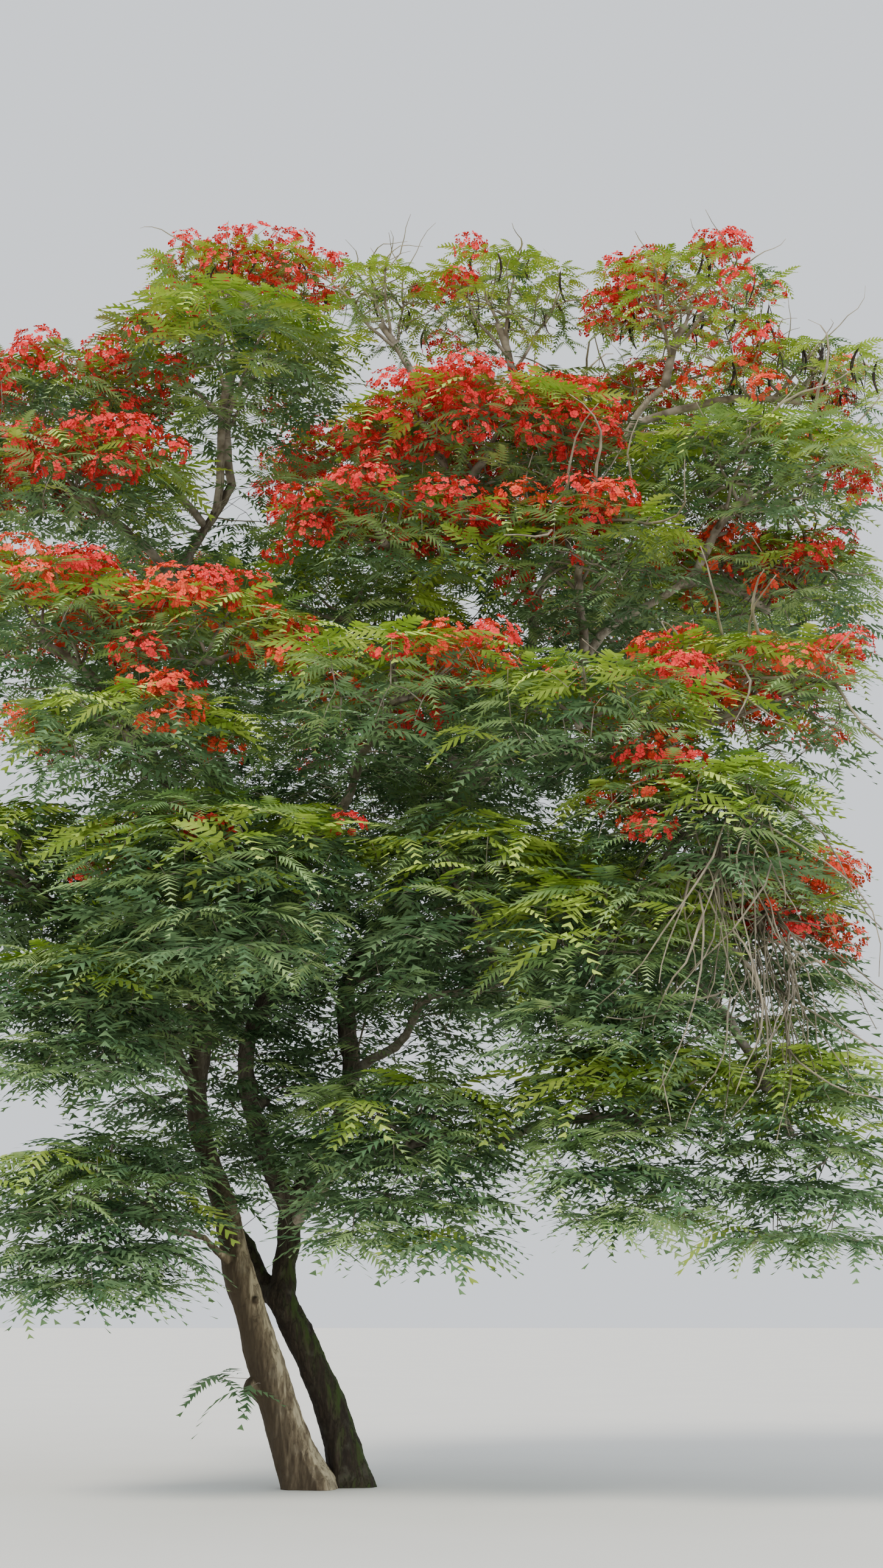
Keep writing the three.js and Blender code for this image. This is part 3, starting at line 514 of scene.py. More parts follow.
# Flower stalks: soft and green, reddened by the sun
stalkGreen = softMaterial(
    "flowerStalks", roughness=0.6, drift=150, grain=10, depth=1, gloss=0.25, colours=("#62702f", "#8f6a3c"))
# Pods: dry, woody and nearly black
podShell = softMaterial(
    "podShell", roughness=0.6, drift=80, grain=12, depth=3, gloss=0.3, colours=("#1d1612", "#3b2c21"))
# Dry bare twigs: bleached grey, the bark gone dull and smooth
dryBark = softMaterial(
    "dryTwigBark", roughness=0.9, drift=200, grain=20, depth=4, gloss=0.15, colours=("#786f60", "#a0967f"))
# Twigs: thin grey-brown bark with fine lengthwise wrinkles
twigBark = softMaterial(
    "twigBark", roughness=0.85, drift=160, grain=18, depth=5, gloss=0.2, colours=("#6f6456", "#a99e8d"))
print("materials: bark, twigs, leaflets, petals and pods")


# Bark of the stems and boughs
bark = dict(
    ringStep=0.28, fewestRings=4, sides=18,   # metres of limb between two rings, and corners of a ring
    stemVoxel=0.016, boughVoxel=0.02,
    smoothing=4, softness=0.5,   # rounds that soften the forks, and how much each does
    collar=(0.35, 0.2),     # swelling of a side limb's foot, and the metres in which most of it is gone
    carriesOn=0.97,         # from this share of its parent on, a limb carries it on and takes over its girth
    takeOver=0.6,           # the same metres for such a limb
    roundEnd=((0.5, 0.8), (0.85, 0.4)),   # steps past a limb's tip, in radii, and the girth left there
    # the lobes of a foot: the share of the stem that gives its direction, where one lobe points, and how
    # far they reach out and up, in radii and in heights of the flare
    footShare=0.02, lobeFacing=(0, -0.3, -1), lobeReach=(2, 4),
    groundSnap=0.0005,      # metres: points this near the flat cut lie on it
    stubRise=0.45, stubSides=8,
    stubShape=((0, 1.7), (0.45, 1.25), (0.7, 0.95), (0.9, 1.0), (1, 0.6)),   # share of its length, and girth
    paleStem=["stem_pale", "leader_left", "bough_crown", "bough_left_front", "bough_left_low",
              "bough_foot_left"],
    darkStem=["stem_dark", "fork_right", "fork_left", "leader_middle", "leader_right"],
    boughs=["bough_front", "bough_centre", "bough_top", "bough_top_right", "bough_right",
            "bough_right_front", "bough_right_low", "bough_centre_low", "bough_foot_right",
            "bough_back_left", "bough_back_right"],
    # stubs and knots: the limb, its share, which way it looks, how far it stands out, its radius
    stubs=dict(
        paleStem=(("stem_pale", 0.4, 195, 0.46, 0.13), ("stem_pale", 0.8, 300, 0.3, 0.06),
                  ("leader_left", 0.3, 250, 0.24, 0.05), ("leader_left", 0.62, 40, 0.24, 0.045)),
        darkStem=(("leader_middle", 0.35, 325, 0.3, 0.08),
                  ("leader_right", 0.4, 300, 0.26, 0.06), ("leader_right", 0.72, 120, 0.22, 0.05)),
        boughs=(("bough_right", 0.45, 200, 0.17, 0.035), ("bough_top", 0.4, 190, 0.17, 0.035),
                ("bough_right_low", 0.5, 250, 0.15, 0.03), ("bough_centre", 0.5, 100, 0.16, 0.032))),
)


def turnSelection(fromWay, toWay, centre):
    turn = fromWay.rotation_difference(toWay).to_euler("XYZ")
    for axis in "XYZ":  # with no window the operator turns the other way
        bpy.ops.transform.rotate(value=-getattr(turn, axis.lower()), orient_axis=axis,
                                 orient_type="GLOBAL", center_override=centre)


def extrudeAlong(name, points, radii, sides):  # a ring drawn out along points, as a closed limb
    points = [Vector(point) for point in points]
    ends = [points[0], *points, points[-1]]
    ways = [(ends[i + 2] - ends[i]).normalized() for i in range(len(points))]
    bpy.ops.object.select_all(action="DESELECT")
    bpy.ops.mesh.primitive_circle_add(
        vertices=sides, radius=radii[0], fill_type="NGON", location=points[0],
        rotation=Vector((0, 0, 1)).rotation_difference(ways[0]).to_euler("XYZ"))
    limb = bpy.context.object
    limb.name = name
    bpy.ops.object.mode_set(mode="EDIT")
    bpy.ops.mesh.select_all(action="SELECT")
    for i in range(1, len(points)):
        bpy.ops.mesh.extrude_region_move(TRANSFORM_OT_translate={"value": points[i] - points[i - 1]})
        turnSelection(ways[i - 1], ways[i], points[i])
        bpy.ops.transform.resize(value=(radii[i] / radii[i - 1],) * 3, center_override=points[i])
    bpy.ops.mesh.select_all(action="SELECT")
    bpy.ops.mesh.normals_make_consistent(inside=False)
    bpy.ops.object.mode_set(mode="OBJECT")
    bpy.ops.object.transform_apply(location=True, rotation=True, scale=True)
    return limb


def barkLimb(limb):
    row, length = limb["row"], limb["length"]
    rings = max(bark["fewestRings"], round(length / bark["ringStep"]))
    shares = [ring / rings for ring in range(rings + 1)]
    points = [limb["line"](share) for share in shares]
    radii = [limbRadius(row, share) for share in shares]
    if "foot" in row:  # drawn on below the ground, where it is cut flat later
        way = points[0] - points[1]
        points.insert(0, points[0] + way / np.linalg.norm(way) * rule["footDepth"])
        radii.insert(0, radii[0])
    else:
        swell, fade = bark["collar"]
        if row["at"] > bark["carriesOn"]:
            swell, fade = limbRadius(limbs[row["on"]]["row"], 1) / radii[0] - 1, bark["takeOver"]
        radii = [radius * (1 + swell * math.exp(-share * length / fade))
                 for share, radius in zip(shares, radii)]
    last = points[-1] - points[-2]
    last *= radii[-1] / np.linalg.norm(last)
    for step, size in bark["roundEnd"]:
        points.append(limb["line"](1.0) + last * step)
        radii.append(radii[rings] * size)
    return extrudeAlong(limb["name"] + "_bark", points, radii, bark["sides"])


def barkStub(stub):  # the swollen foot and broken end of a lost branch
    name, share, facing, length, radius = stub
    root = limbs[name]["line"](share)
    way = headingOf(math.radians(facing)) + np.array([0, 0, bark["stubRise"]])
    way /= np.linalg.norm(way)
    return extrudeAlong(name + "_stub", [root + way * length * step for step, size in bark["stubShape"]],
                        [radius * size for step, size in bark["stubShape"]], bark["stubSides"])


def joinAll(parts, name):
    bpy.ops.object.select_all(action="DESELECT")
    for part in parts:
        part.select_set(True)
    bpy.context.view_layer.objects.active = parts[0]
    bpy.ops.object.join()
    parts[0].name = name
    return parts[0]


def lobeFoot(piece, name):  # the low lobes of a flared foot
    line = limbs[name]["line"]
    foot = Vector(line(0.0))
    along = (Vector(line(bark["footShare"])) - foot).normalized()
    up = Vector(bark["lobeFacing"])
    up = (up - along * up.dot(along)).normalized()
    side = along.cross(up)
    widest = bark["lobeReach"][0] * limbRadius(limbs[name]["row"], 0)
    highest = bark["lobeReach"][1] * rule["flareHeight"]
    for point in piece.data.vertices:
        away = point.co - foot
        height = away.dot(along)
        across = away - along * height
        if across.length > widest or height > highest:
            continue
        angle = math.atan2(across.dot(up), across.dot(side))
        flare = math.exp(-max(0, height) / rule["flareHeight"])
        lobe = rule["flareLobe"] * flare * math.cos(rule["lobes"] * angle)
        point.co += across * lobe / (1 + rule["flare"] * flare)


# Relief: lumps a hand wide, and over them long upright grooves on the stems and dimples on the boughs. For
# both, how many there are in a metre across and up and how many metres deep they are, then the fractal's
# dimension, lacunarity and octaves, and where the lumps and the grooves start
relief = dict(
    furrows=dict(lumps=(2.6, 1.5, 0.026), grooves=(11, 1.8, 0.013), fractal=(0.8, 2.1, 4), start=(0, 0)),
    roughFurrows=dict(lumps=(3.2, 2.2, 0.028), grooves=(12, 2.6, 0.016), fractal=(0.7, 2.1, 4), start=(9, 5)),
    dimples=dict(lumps=(5, 5, 0.011), grooves=(17, 17, 0.005), fractal=(0.9, 2.2, 3), start=(0, 0)),
)


def depthAt(look, x, y, z):
    across, upward, lumpDepth = look["lumps"]
    lump = noise.noise(Vector((x * across + look["start"][0], y * across, z * upward)))
    across, upward, grooveDepth = look["grooves"]
    groove = noise.fractal(Vector((x * across, y * across, z * upward + look["start"][1])), *look["fractal"])
    return lumpDepth * lump + grooveDepth * groove


def carve(piece, look):  # moves the surface in and out along its normals
    mesh = piece.data
    points, normals = np.empty((2, len(mesh.vertices) * 3), np.float32)
    mesh.vertices.foreach_get("co", points)
    mesh.vertex_normals.foreach_get("vector", normals)
    points, normals = points.reshape(-1, 3), normals.reshape(-1, 3)
    depths = np.array([depthAt(look, *(float(part) for part in point)) for point in points], np.float32)
    mesh.vertices.foreach_set("co", (points + normals * depths[:, None]).ravel())
    mesh.update()


def fuseBark(group, name, voxel, look, material):
    parts = [barkLimb(limbs[limb]) for limb in bark[group]]
    parts += [barkStub(stub) for stub in bark["stubs"][group]]
    for part, limb in zip(parts, bark[group]):
        if "foot" in limbs[limb]["row"]:
            lobeFoot(part, limb)
    piece = joinAll(parts, name)
    remesh = piece.modifiers.new("oneSkin", "REMESH")
    remesh.mode = "VOXEL"
    remesh.voxel_size = bark[voxel]
    bpy.ops.object.modifier_apply(modifier=remesh.name)
    smooth = piece.modifiers.new("softForks", "SMOOTH")
    smooth.factor = bark["softness"]
    smooth.iterations = bark["smoothing"]
    bpy.ops.object.modifier_apply(modifier=smooth.name)
    carve(piece, relief[look])
    if min(point.co.z for point in piece.data.vertices) < 0:  # the flat cut at ground level
        bpy.ops.object.mode_set(mode="EDIT")
        bpy.ops.mesh.select_all(action="SELECT")
        bpy.ops.mesh.bisect(plane_co=(0, 0, 0), plane_no=(0, 0, 1), clear_inner=True, use_fill=True)
        bpy.ops.object.mode_set(mode="OBJECT")
        for point in piece.data.vertices:
            if point.co.z < bark["groundSnap"]:
                point.co.z = 0
    bpy.ops.object.shade_smooth()
    piece.data.materials.clear()
    piece.data.materials.append(material)
    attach(piece, "root")
    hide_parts(*bark[group])
    piece.data.calc_loop_triangles()
    print(name, "has", len(piece.data.loop_triangles), "triangles")


fuseBark("paleStem", "paleStemBark", "stemVoxel", "furrows", barkPale)
fuseBark("darkStem", "darkStemBark", "stemVoxel", "roughFurrows", barkDark)
fuseBark("boughs", "boughBark", "boughVoxel", "dimples", barkBough)



# Joined meshes from arrays, for all that the tree has by the thousand
def newPile():
    return dict(points=[], faces=[], count=0)


def addToPile(pile, points, faces):  # points (n, 3), faces (m, 3) that count from this batch's first point
    pile["points"].append(np.asarray(points, np.float32))
    pile["faces"].append(np.asarray(faces, np.int32) + pile["count"])
    pile["count"] += len(points)


def addCopies(pile, shape, turns, places):  # shape (points, faces), turns (n, 3, 3), places (n, 3)
    points, faces = shape
    if not len(places):
        return
    placed = np.einsum("nij,vj->nvi", turns, points) + places[:, None, :]
    shift = np.arange(len(places))[:, None, None] * len(points)
    addToPile(pile, placed.reshape(-1, 3), (faces[None] + shift).reshape(-1, 3))


def addTubes(pile, paths, radii, sides):  # paths (n, rings, 3), radii (n, rings), ends closed
    count, rings = paths.shape[:2]
    along = paths[:, -1] - paths[:, 0]
    along /= np.linalg.norm(along, axis=1, keepdims=True)
    helper = np.where(np.abs(along[:, 2:3]) > 0.8, [[1.0, 0, 0]], [[0, 0, 1.0]])
    side = np.cross(along, helper)
    side /= np.linalg.norm(side, axis=1, keepdims=True)
    up = np.cross(side, along)
    angles = np.arange(sides) * 2 * math.pi / sides
    circle = side[:, None] * np.cos(angles)[None, :, None] + up[:, None] * np.sin(angles)[None, :, None]
    skin = paths[:, :, None, :] + circle[:, None] * radii[:, :, None, None]
    ringFaces = []
    for ring in range(rings - 1):
        for i in range(sides):
            a, b = ring * sides + i, ring * sides + (i + 1) % sides
            ringFaces += [(a, b + sides, b), (a, a + sides, b + sides)]
    last = (rings - 1) * sides
    for i in range(1, sides - 1):
        ringFaces += [(0, i, i + 1), (last, last + i + 1, last + i)]
    shift = np.arange(count)[:, None, None] * rings * sides
    addToPile(pile, skin.reshape(-1, 3), (np.array(ringFaces)[None] + shift).reshape(-1, 3))


def turnsOf(along, up):  # rotation with x along and z nearest to up
    x = along / np.linalg.norm(along, axis=1, keepdims=True)
    y = np.cross(up, x)
    y /= np.linalg.norm(y, axis=1, keepdims=True)
    return np.stack([x, y, np.cross(x, y)], axis=2)


def pieceOf(pile, name, material, nodes=()):
    points, faces = np.vstack(pile["points"]), np.vstack(pile["faces"])
    mesh = bpy.data.meshes.new(name)
    mesh.vertices.add(len(points))
    mesh.vertices.foreach_set("co", points.ravel())
    mesh.loops.add(faces.size)
    mesh.loops.foreach_set("vertex_index", faces.ravel())
    mesh.polygons.add(len(faces))
    mesh.polygons.foreach_set("loop_start", np.arange(0, faces.size, 3, dtype=np.int32))
    mesh.update(calc_edges=True)
    mesh.materials.append(material)
    piece = bpy.data.objects.new(name, mesh)
    bpy.context.scene.collection.objects.link(piece)
    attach(piece, "root")
    if nodes:
        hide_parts(*nodes)
    print(name, "has", len(faces), "triangles")
    return piece


def columnsOf(rows, **widths):  # what the columns of the rows hold, by name
    rows, ends = np.array(rows), np.cumsum(list(widths.values()))
    return {name: rows[:, end - width:end] if width > 1 else rows[:, end - 1]
            for (name, width), end in zip(widths.items(), ends)}


def inOwnTier(orders, points, margin, skirt=rule["tierSkirt"]):  # true as well for what has no tier
    keep = orders < 0
    for tier in tiers:
        mine = orders == tier["order"]
        keep[mine] = inSpace(tier, points[mine], margin, skirt)
    return keep


def inBox(points, room):  # the box of the solids, and a share of each side more
    low, high = (np.array(corner) for corner in cadBounds)
    more = room * (high - low)
    return ((points > low - more) & (points < high + more)).all(1)


# Finer twigs: each tier is filled out to its reach in layers, by the golden angle, as its arms are
finer = dict(
    # where the twigs of a layer end, in shares of the reach: how far out, how high over the middle, how
    # much lower at the rim; twigs for a square metre; leaves on each; shares of them sunlit and shaded
    layers=(
        dict(out=0.9, rise=0.8, fall=0.8, perArea=4.8, leaves=6, sunny=0.6, shady=0.05),
        dict(out=0.88, rise=0.3, fall=0.75, perArea=3.1, leaves=6, sunny=0.2, shady=0.25),
        dict(out=0.84, rise=-0.35, fall=0.5, perArea=2.5, leaves=5, sunny=0.03, shady=0.6),
        dict(out=0.8, rise=-1.1, fall=0.2, perArea=2.3, leaves=5, sunny=0.0, shady=0.8),
        dict(out=0.78, rise=-1.7, fall=0.1, perArea=2.9, leaves=5, sunny=0.05, shady=0.6, lowOnly=True),
    ),
    # tiers with sky under and between them, the share of their twigs that grow, the size of their leaves
    # and how many more of these are sunlit
    airy=("crown_arch", "middle_top", "crown_middle", "crown_right", "right_middle", "right_reach"),
    airyShare=(1.3, 1.3, 1.3, 0.7, 0), airyLeaf=0.58, airySun=0.35,
    skirt=2.1,              # how far the lowest layer hangs, in shares of the reach
    lowTiers=9.0,           # metres: tiers below this have so many times the twigs, layer by layer
    lowShare=(1.25, 1.4, 2.0, 2.3, 1.3),
    top=15.2,               # metres: no leafy twigs between the tiers above this
    # painted shade low down and on the left: metres up and to the right between which the leaves go from
    # shaded to lit, and how much of their share of sunlit ones the shaded keep, and how much of the rest
    # turns shaded
    dull=(4.5, 9.0), dullSide=(0.5, 3.5), dullSun=0.2, dullShade=0.4,
    jitter=0.14,
    grip=(0.25, 0.4, 0.55, 0.7, 0.85, 1.0),   # places along an arm where twigs root
    stemGrip=(0.55, 0.7, 0.85, 1.0),
    shortest=0.12, longest=1.5, inward=0.05,   # of a twig, and how much nearer the stem it roots
    arch=0.1,               # rise of a twig's middle, of its length
    limbGap=0.09,
    radius=(0.0045, 0.017),   # of a twig that carries no other, and the most of one that carries many
    # leafy twigs of the boughs, between the tiers
    boughStep=0.1, boughFrom=0.15, boughLength=(0.6, 1.8), boughLeaves=5, lowest=3.7,
    boughTones=(0.0, 0.75),   # shares of their leaves that are sunlit and shaded
    boughTurn=0.5, boughRise=(-0.35, 0.6), boughLayer=5,   # the number that stands for their layer
    # the side twig of each: its length as a share of that twig's own, how far it turns off, and its rise
    sideTwig=0.5, sideTurn=0.9, sideRise=(-0.4, 0.3),
    # single twigs low on the stem: the limb, its share, heading and rise, the twig's length
    low=(("stem_pale", 0.43, 195, 0.25, 0.75), ("stem_pale", 0.46, 235, -0.1, 0.6)),
)


def nearestArm(tier, spot):  # by the place three quarters along each
    gaps = [np.linalg.norm(spot - (arm["root"] + arm["tip"] * 3) / 4) for arm in tier["arms"]]
    return tier["arms"][int(np.argmin(gaps))] if gaps else None


def twigFrom(root, tip, layer, tier, parent=None):
    middle = (root + tip) / 2 + np.array([0, 0, finer["arch"] * float(np.linalg.norm(tip - root))])
    return dict(root=root, middle=middle, tip=tip, layer=layer, tier=tier, parent=parent, load=0,
                blooms=False, angle=math.atan2(tip[1] - root[1], tip[0] - root[0]))


def growTwigs(tier):
    roll = dice("tierTwigs", tier["order"])
    hub = tier["line"](1.0)
    grips = [tier["line"](share) for share in finer["stemGrip"]]
    grips += [arm["root"] + (arm["tip"] - arm["root"]) * share
              for arm in tier["arms"] for share in finer["grip"]]
    owners = [None] * len(grips)
    ends = []
    airy, low = tier["name"] in finer["airy"], tier["middle"][2] < finer["lowTiers"]
    for number, layer in enumerate(finer["layers"]):
        if layer.get("lowOnly") and not low:
            continue
        share = finer["airyShare" if airy else "lowShare"][number] if airy or low else 1
        count = round(layer["perArea"] * share * math.pi * tier["reach"][0] * tier["reach"][1])
        turn = roll() * 2 * math.pi
        for i in range(count):
            out = layer["out"] * math.sqrt((i + 0.5) / count)
            rise = layer["rise"] - layer["fall"] * out**2 + spread(roll, finer["jitter"])
            spot = headingOf(turn + i * goldenAngle) * out + np.array([0, 0, rise])
            ends.append((number, *(tier["middle"] + tier["reach"] * spot)))
    ends = np.array(ends)
    fits = inSpace(tier, ends[:, 1:], 0.0, rule["tierSkirt"] if airy else finer["skirt"])
    fits &= (gapsTo(tier["obstacles"], ends[:, 1:]) > finer["limbGap"]).all(1)
    ends = ends[fits]
    reachOut = np.linalg.norm(ends[:, 1:] - hub, axis=1)
    twigs = []
    for index in np.argsort(reachOut, kind="stable"):
        spot = ends[index, 1:]
        points = np.array(grips)
        gaps = np.linalg.norm(points - spot, axis=1)
        inner = np.linalg.norm(points - hub, axis=1) < reachOut[index] - finer["inward"]
        best = int(np.argmin(np.where(inner, gaps, gaps + 9)))  # one farther out only for want of others
        if not finer["shortest"] < gaps[best] < finer["longest"]:
            continue
        twig = twigFrom(points[best], spot, int(ends[index, 0]), tier, owners[best])
        arm = nearestArm(tier, spot)
        twig["blooms"] = bool(arm and arm["blooms"])
        owner = twig["parent"]
        while owner is not None:
            twigs[owner]["load"] += 1
            owner = twigs[owner]["parent"]
        grips += [onTwig(twig, 0.5), spot]
        owners += [len(twigs)] * 2
        twigs.append(twig)
    return twigs


def onTwig(twig, share):  # a point along the arched twig
    bend = 2 * twig["middle"] - (twig["root"] + twig["tip"]) / 2
    return (1 - share)**2 * twig["root"] + 2 * share * (1 - share) * bend + share**2 * twig["tip"]


def growBoughTwigs():  # leafy twigs that fill the spaces between the tiers
    twigs = []
    for number, limb in enumerate(limbs.values()):
        if "foot" in limb["row"]:
            continue
        roll = dice("boughTwigs", number)
        count = round(limb["length"] * (1 - finer["boughFrom"]) / finer["boughStep"])
        for i in range(count):
            root = limb["line"](mix((finer["boughFrom"], 1.0), (i + roll()) / count))
            ahead = i * goldenAngle + spread(roll, finer["boughTurn"])
            reach = between(roll, *finer["boughLength"])
            tip = root + (headingOf(ahead) + np.array([0, 0, between(roll, *finer["boughRise"])])) * reach
            aside = headingOf(ahead + finer["sideTurn"] * (1 if i % 2 else -1))
            aside = aside + np.array([0, 0, between(roll, *finer["sideRise"])])
            inTier = any(inSpace(tier, tip)[0] for tier in tiers)
            if inTier or tip[2] < finer["lowest"] or root[2] > finer["top"]:
                continue
            twigs.append(twigFrom(root, tip, finer["boughLayer"], None))
            fork = onTwig(twigs[-1], 0.5)
            tip = fork + aside * reach * finer["sideTwig"]
            twigs.append(twigFrom(fork, tip, finer["boughLayer"], None))
    for name, share, heading, rise, reach in finer["low"]:
        root = limbs[name]["line"](share)
        way = headingOf(math.radians(heading)) + np.array([0, 0, rise])
        twigs.append(twigFrom(root, root + way * reach, finer["boughLayer"], None))
    return twigs


leafShape = dict(
    # pairs of blades of the leaves in the sun, between and in the shade, and whether a blade ends blunt
    kinds=((7, True), (10, False), (7, False)),
    # where the first pair stands and how much of the leaf they all take up; their length with its least and
    # its swell along the leaf; half a foot's width over the number of pairs, and its tip's as a share of that
    pairsFrom=0.12, pairsSpan=0.82, bladeLength=0.25, bladeSwell=(0.45, 0.55), bladeFoot=0.43, bladeTip=0.5,
    lean=1.05, upright=0.4, fold=0.3, rib=0.009, ribTo=0.13, spineRise=0.3,
    arches=(0.18, 0.36, 0.56),   # how far a leaf of length one hangs at its tip
    length=(0.48, 0.7), pitch=0.35, tilt=0.4,
    # most stand in a rosette at the twig's end, up to so far to each side, and the last one on its side
    rosette=2.3, rosetteJitter=0.35, alone=(0.4, 0.8), aloneTurn=(0.5, 1.2),
    lowFrom=(7.0, 9.5), lowScale=1.2,   # metres up between which leaves change to their size in the low shade
    # how far a tip may stand out of its tier, in metres and below it in shares of the reach, the gap of a
    # leaf's middle to the limbs in metres, and the share of the whole box that a tip may stand out of it
    tipMargin=0.3, tipSkirt=0.6, limbGap=0.03, boxRoom=0.013,
    partedAt=1.6,   # metres: the crown is parted here, as a piece stays under 200,000 triangles
)


def makeLeaf(arch, pairs, blunt):  # one feathery leaf along x: narrow blades in pairs, folded like a roof
    points, faces = [], []

    def spine(share):
        return np.array([share, 0, leafShape["spineRise"] * share * (1 - share) - arch * share**2])

    for pair in range(pairs):
        share = leafShape["pairsFrom"] + leafShape["pairsSpan"] * pair / (pairs - 1)
        least, swell = leafShape["bladeSwell"]
        length = leafShape["bladeLength"] * (least + swell * math.sin(math.pi * min(1, share + 0.1)))
        half = leafShape["bladeFoot"] / pairs
        lean = leafShape["lean"] * (1 - leafShape["upright"] * share)
        for sign in (-1, 1):
            way = np.array([math.cos(lean), sign * math.sin(lean), -leafShape["fold"]])
            end = spine(share) + way * length
            along = np.array([half, 0, -arch * share * half])
            wide = along * leafShape["bladeTip"]
            tips = [end + wide, end - wide] if blunt else [end]
            first = len(points)
            points += [spine(share) - along, spine(share) + along, *tips]
            for corner in range(1, len(tips) + 1):
                face = (first, first + corner, first + corner + 1)
                faces.append(face if sign > 0 else face[::-1])
    first = len(points)
    points += [np.array([0, side * leafShape["rib"], 0]) for side in (-1, 1)]
    points.append(spine(leafShape["ribTo"]))
    faces.append((first, first + 2, first + 1))
    return np.array(points), np.array(faces)


def growLeaves(twigs):
    rows = []
    for number, twig in enumerate(twigs):
        roll = dice("leaves", number)
        layer = finer["layers"][twig["layer"]] if twig["tier"] else None
        sunny, shady = (layer["sunny"], layer["shady"]) if layer else finer["boughTones"]
        airy = layer is not None and twig["tier"]["name"] in finer["airy"]
        if airy:
            sunny, shady = sunny + finer["airySun"], shady / 2
        # painted shade: low down and on the left, fewer leaves take the sunlit green and more the shaded one
        dull = (1 - np.interp(twig["tip"][2], finer["dull"], (0, 1))) * (
            1 - np.interp(twig["tip"][0], finer["dullSide"], (0, 1)))
        sunny = sunny * (1 + (finer["dullSun"] - 1) * dull)
        shady = shady + (1 - shady) * finer["dullShade"] * dull
        lit = roll()
        tone = 0 if lit < sunny else 2 if lit > 1 - shady else 1
        count = layer["leaves"] if layer else finer["boughLeaves"]
        scale = finer["airyLeaf"] if airy else np.interp(
            twig["tip"][2], leafShape["lowFrom"], (leafShape["lowScale"], 1))
        if twig["cluster"]:
            count -= blossom["inPlaceOf"]
        for leaf in range(count):
            if leaf < count - 1:  # the rosette at the end
                share = 1.0
                turned = leafShape["rosette"] * (2 * (leaf + 0.5) / (count - 1) - 1)
                turned = turned + spread(roll, leafShape["rosetteJitter"])
            else:
                share = between(roll, *leafShape["alone"])
                turned = (1 if roll() < 0.5 else -1) * between(roll, *leafShape["aloneTurn"])
            pitch = spread(roll, leafShape["pitch"])
            angle = twig["angle"] + turned
            rows.append((*onTwig(twig, share), math.cos(angle) * math.cos(pitch),
                         math.sin(angle) * math.cos(pitch), math.sin(pitch),
                         between(roll, *leafShape["length"]) * scale,
                         spread(roll, leafShape["tilt"]), tone, int(len(leafShape["arches"]) * roll()),
                         twig["tier"]["order"] if layer else -1))
    found = columnsOf(rows, root=3, way=3, length=1, tilt=1, tone=1, kind=1, tier=1)
    reach = found["way"] * found["length"][:, None]
    tips, middles = found["root"] + reach, found["root"] + reach * 0.6
    keep = inOwnTier(found["tier"], tips, leafShape["tipMargin"], finer["skirt"] + leafShape["tipSkirt"])
    for part in np.array_split(np.arange(len(rows)), 24):  # in parts, to spare memory
        keep[part] &= (gapsTo(limbPieces, middles[part]) > leafShape["limbGap"]).all(1)
    keep &= inBox(tips, leafShape["boxRoom"])
    return {name: values[keep] for name, values in found.items()}


# Blossom: round clusters on top of the twigs round the arms that flower
blossom = dict(
    flower=(0.05, 0.064),   # radius of an open flower
    cluster=(0.2, 0.33), flat=0.75,   # radius of a cluster, and its height as a share of that
    apart=0.36,             # metres between two clusters of a tier
    stalkEvery=8, stalk=(0.005, 0.003),   # flowers for each stalk that shows, and its radius at both ends
    flowers=560,            # in a cluster of radius 1
    lift=0.1, outward=0.08,   # of a cluster from the end of its twig
    margin=0.25,            # metres that flowers may stand out of their tier
    chance=(0.75, 0.75, 0.4, 0, 0, 0),   # share of the flowering twigs of each layer
    # times as many in these tiers
    amount=dict(crown_arch=1.5, crown_middle=1.6, middle_top=1.5, left_shelf=1.2, bloom_skirt=1.3,
                bloom_dome=1.2, right_slope=1.7, right_side=1.7, right_heart=1.3, left_front=0.6,
                left_fore=0.9, left_skirt=1.8, centre_front=1.9, right_bloom=1.8, right_front=1.8,
                right_tangle=1.5),
    stray=0.14,             # share of the other twigs that flower, in a tier that flowers all over
    patch=1.1, airyPatch=0.55,   # metres across
    patchLevel=(0.15, -0.35),   # how few of them flower in a tier with little bloom, and with all
    orangeShare=0.2, boxRoom=0.018,
    inPlaceOf=3,            # leaves
    # where flowers stand in a cluster, in its radii: how high, how far from its centre, and its width
    heights=(-0.6, 1), shell=(0.85, 1.05), wide=1.1, spin=6.28,
    # in radii of the flower: where a petal is widest, half its width, and the rise of all but the last
    petals=5, petalFoot=0.05, petalAt=0.75, petalHalf=0.44, petalRise=(0.35, 0.9), petalCurve=(0.7, 0.6),
)


def planClusters(twigs):
    taken = {tier["name"]: [] for tier in tiers}
    for number, twig in enumerate(twigs):
        roll = dice("clusters", number)
        bloom = twig["tier"]["row"].get("bloom", 0) if twig["tier"] else 0
        airy = twig["tier"] and twig["tier"]["name"] in finer["airy"]
        place = Vector(twig["tip"]) / blossom["airyPatch" if airy else "patch"]
        chance = blossom["chance"][twig["layer"]] * (noise.noise(place) > mix(blossom["patchLevel"], bloom))
        chance *= blossom["amount"].get(twig["tier"]["name"], 1) if twig["tier"] else 0
        twig["cluster"] = roll() < chance * (1 if twig["blooms"] else blossom["stray"] * bloom)
        if twig["cluster"]:
            others = taken[twig["tier"]["name"]]
            twig["cluster"] = all(np.linalg.norm(twig["tip"] - other) > blossom["apart"] for other in others)
            if twig["cluster"]:
                others.append(twig["tip"])


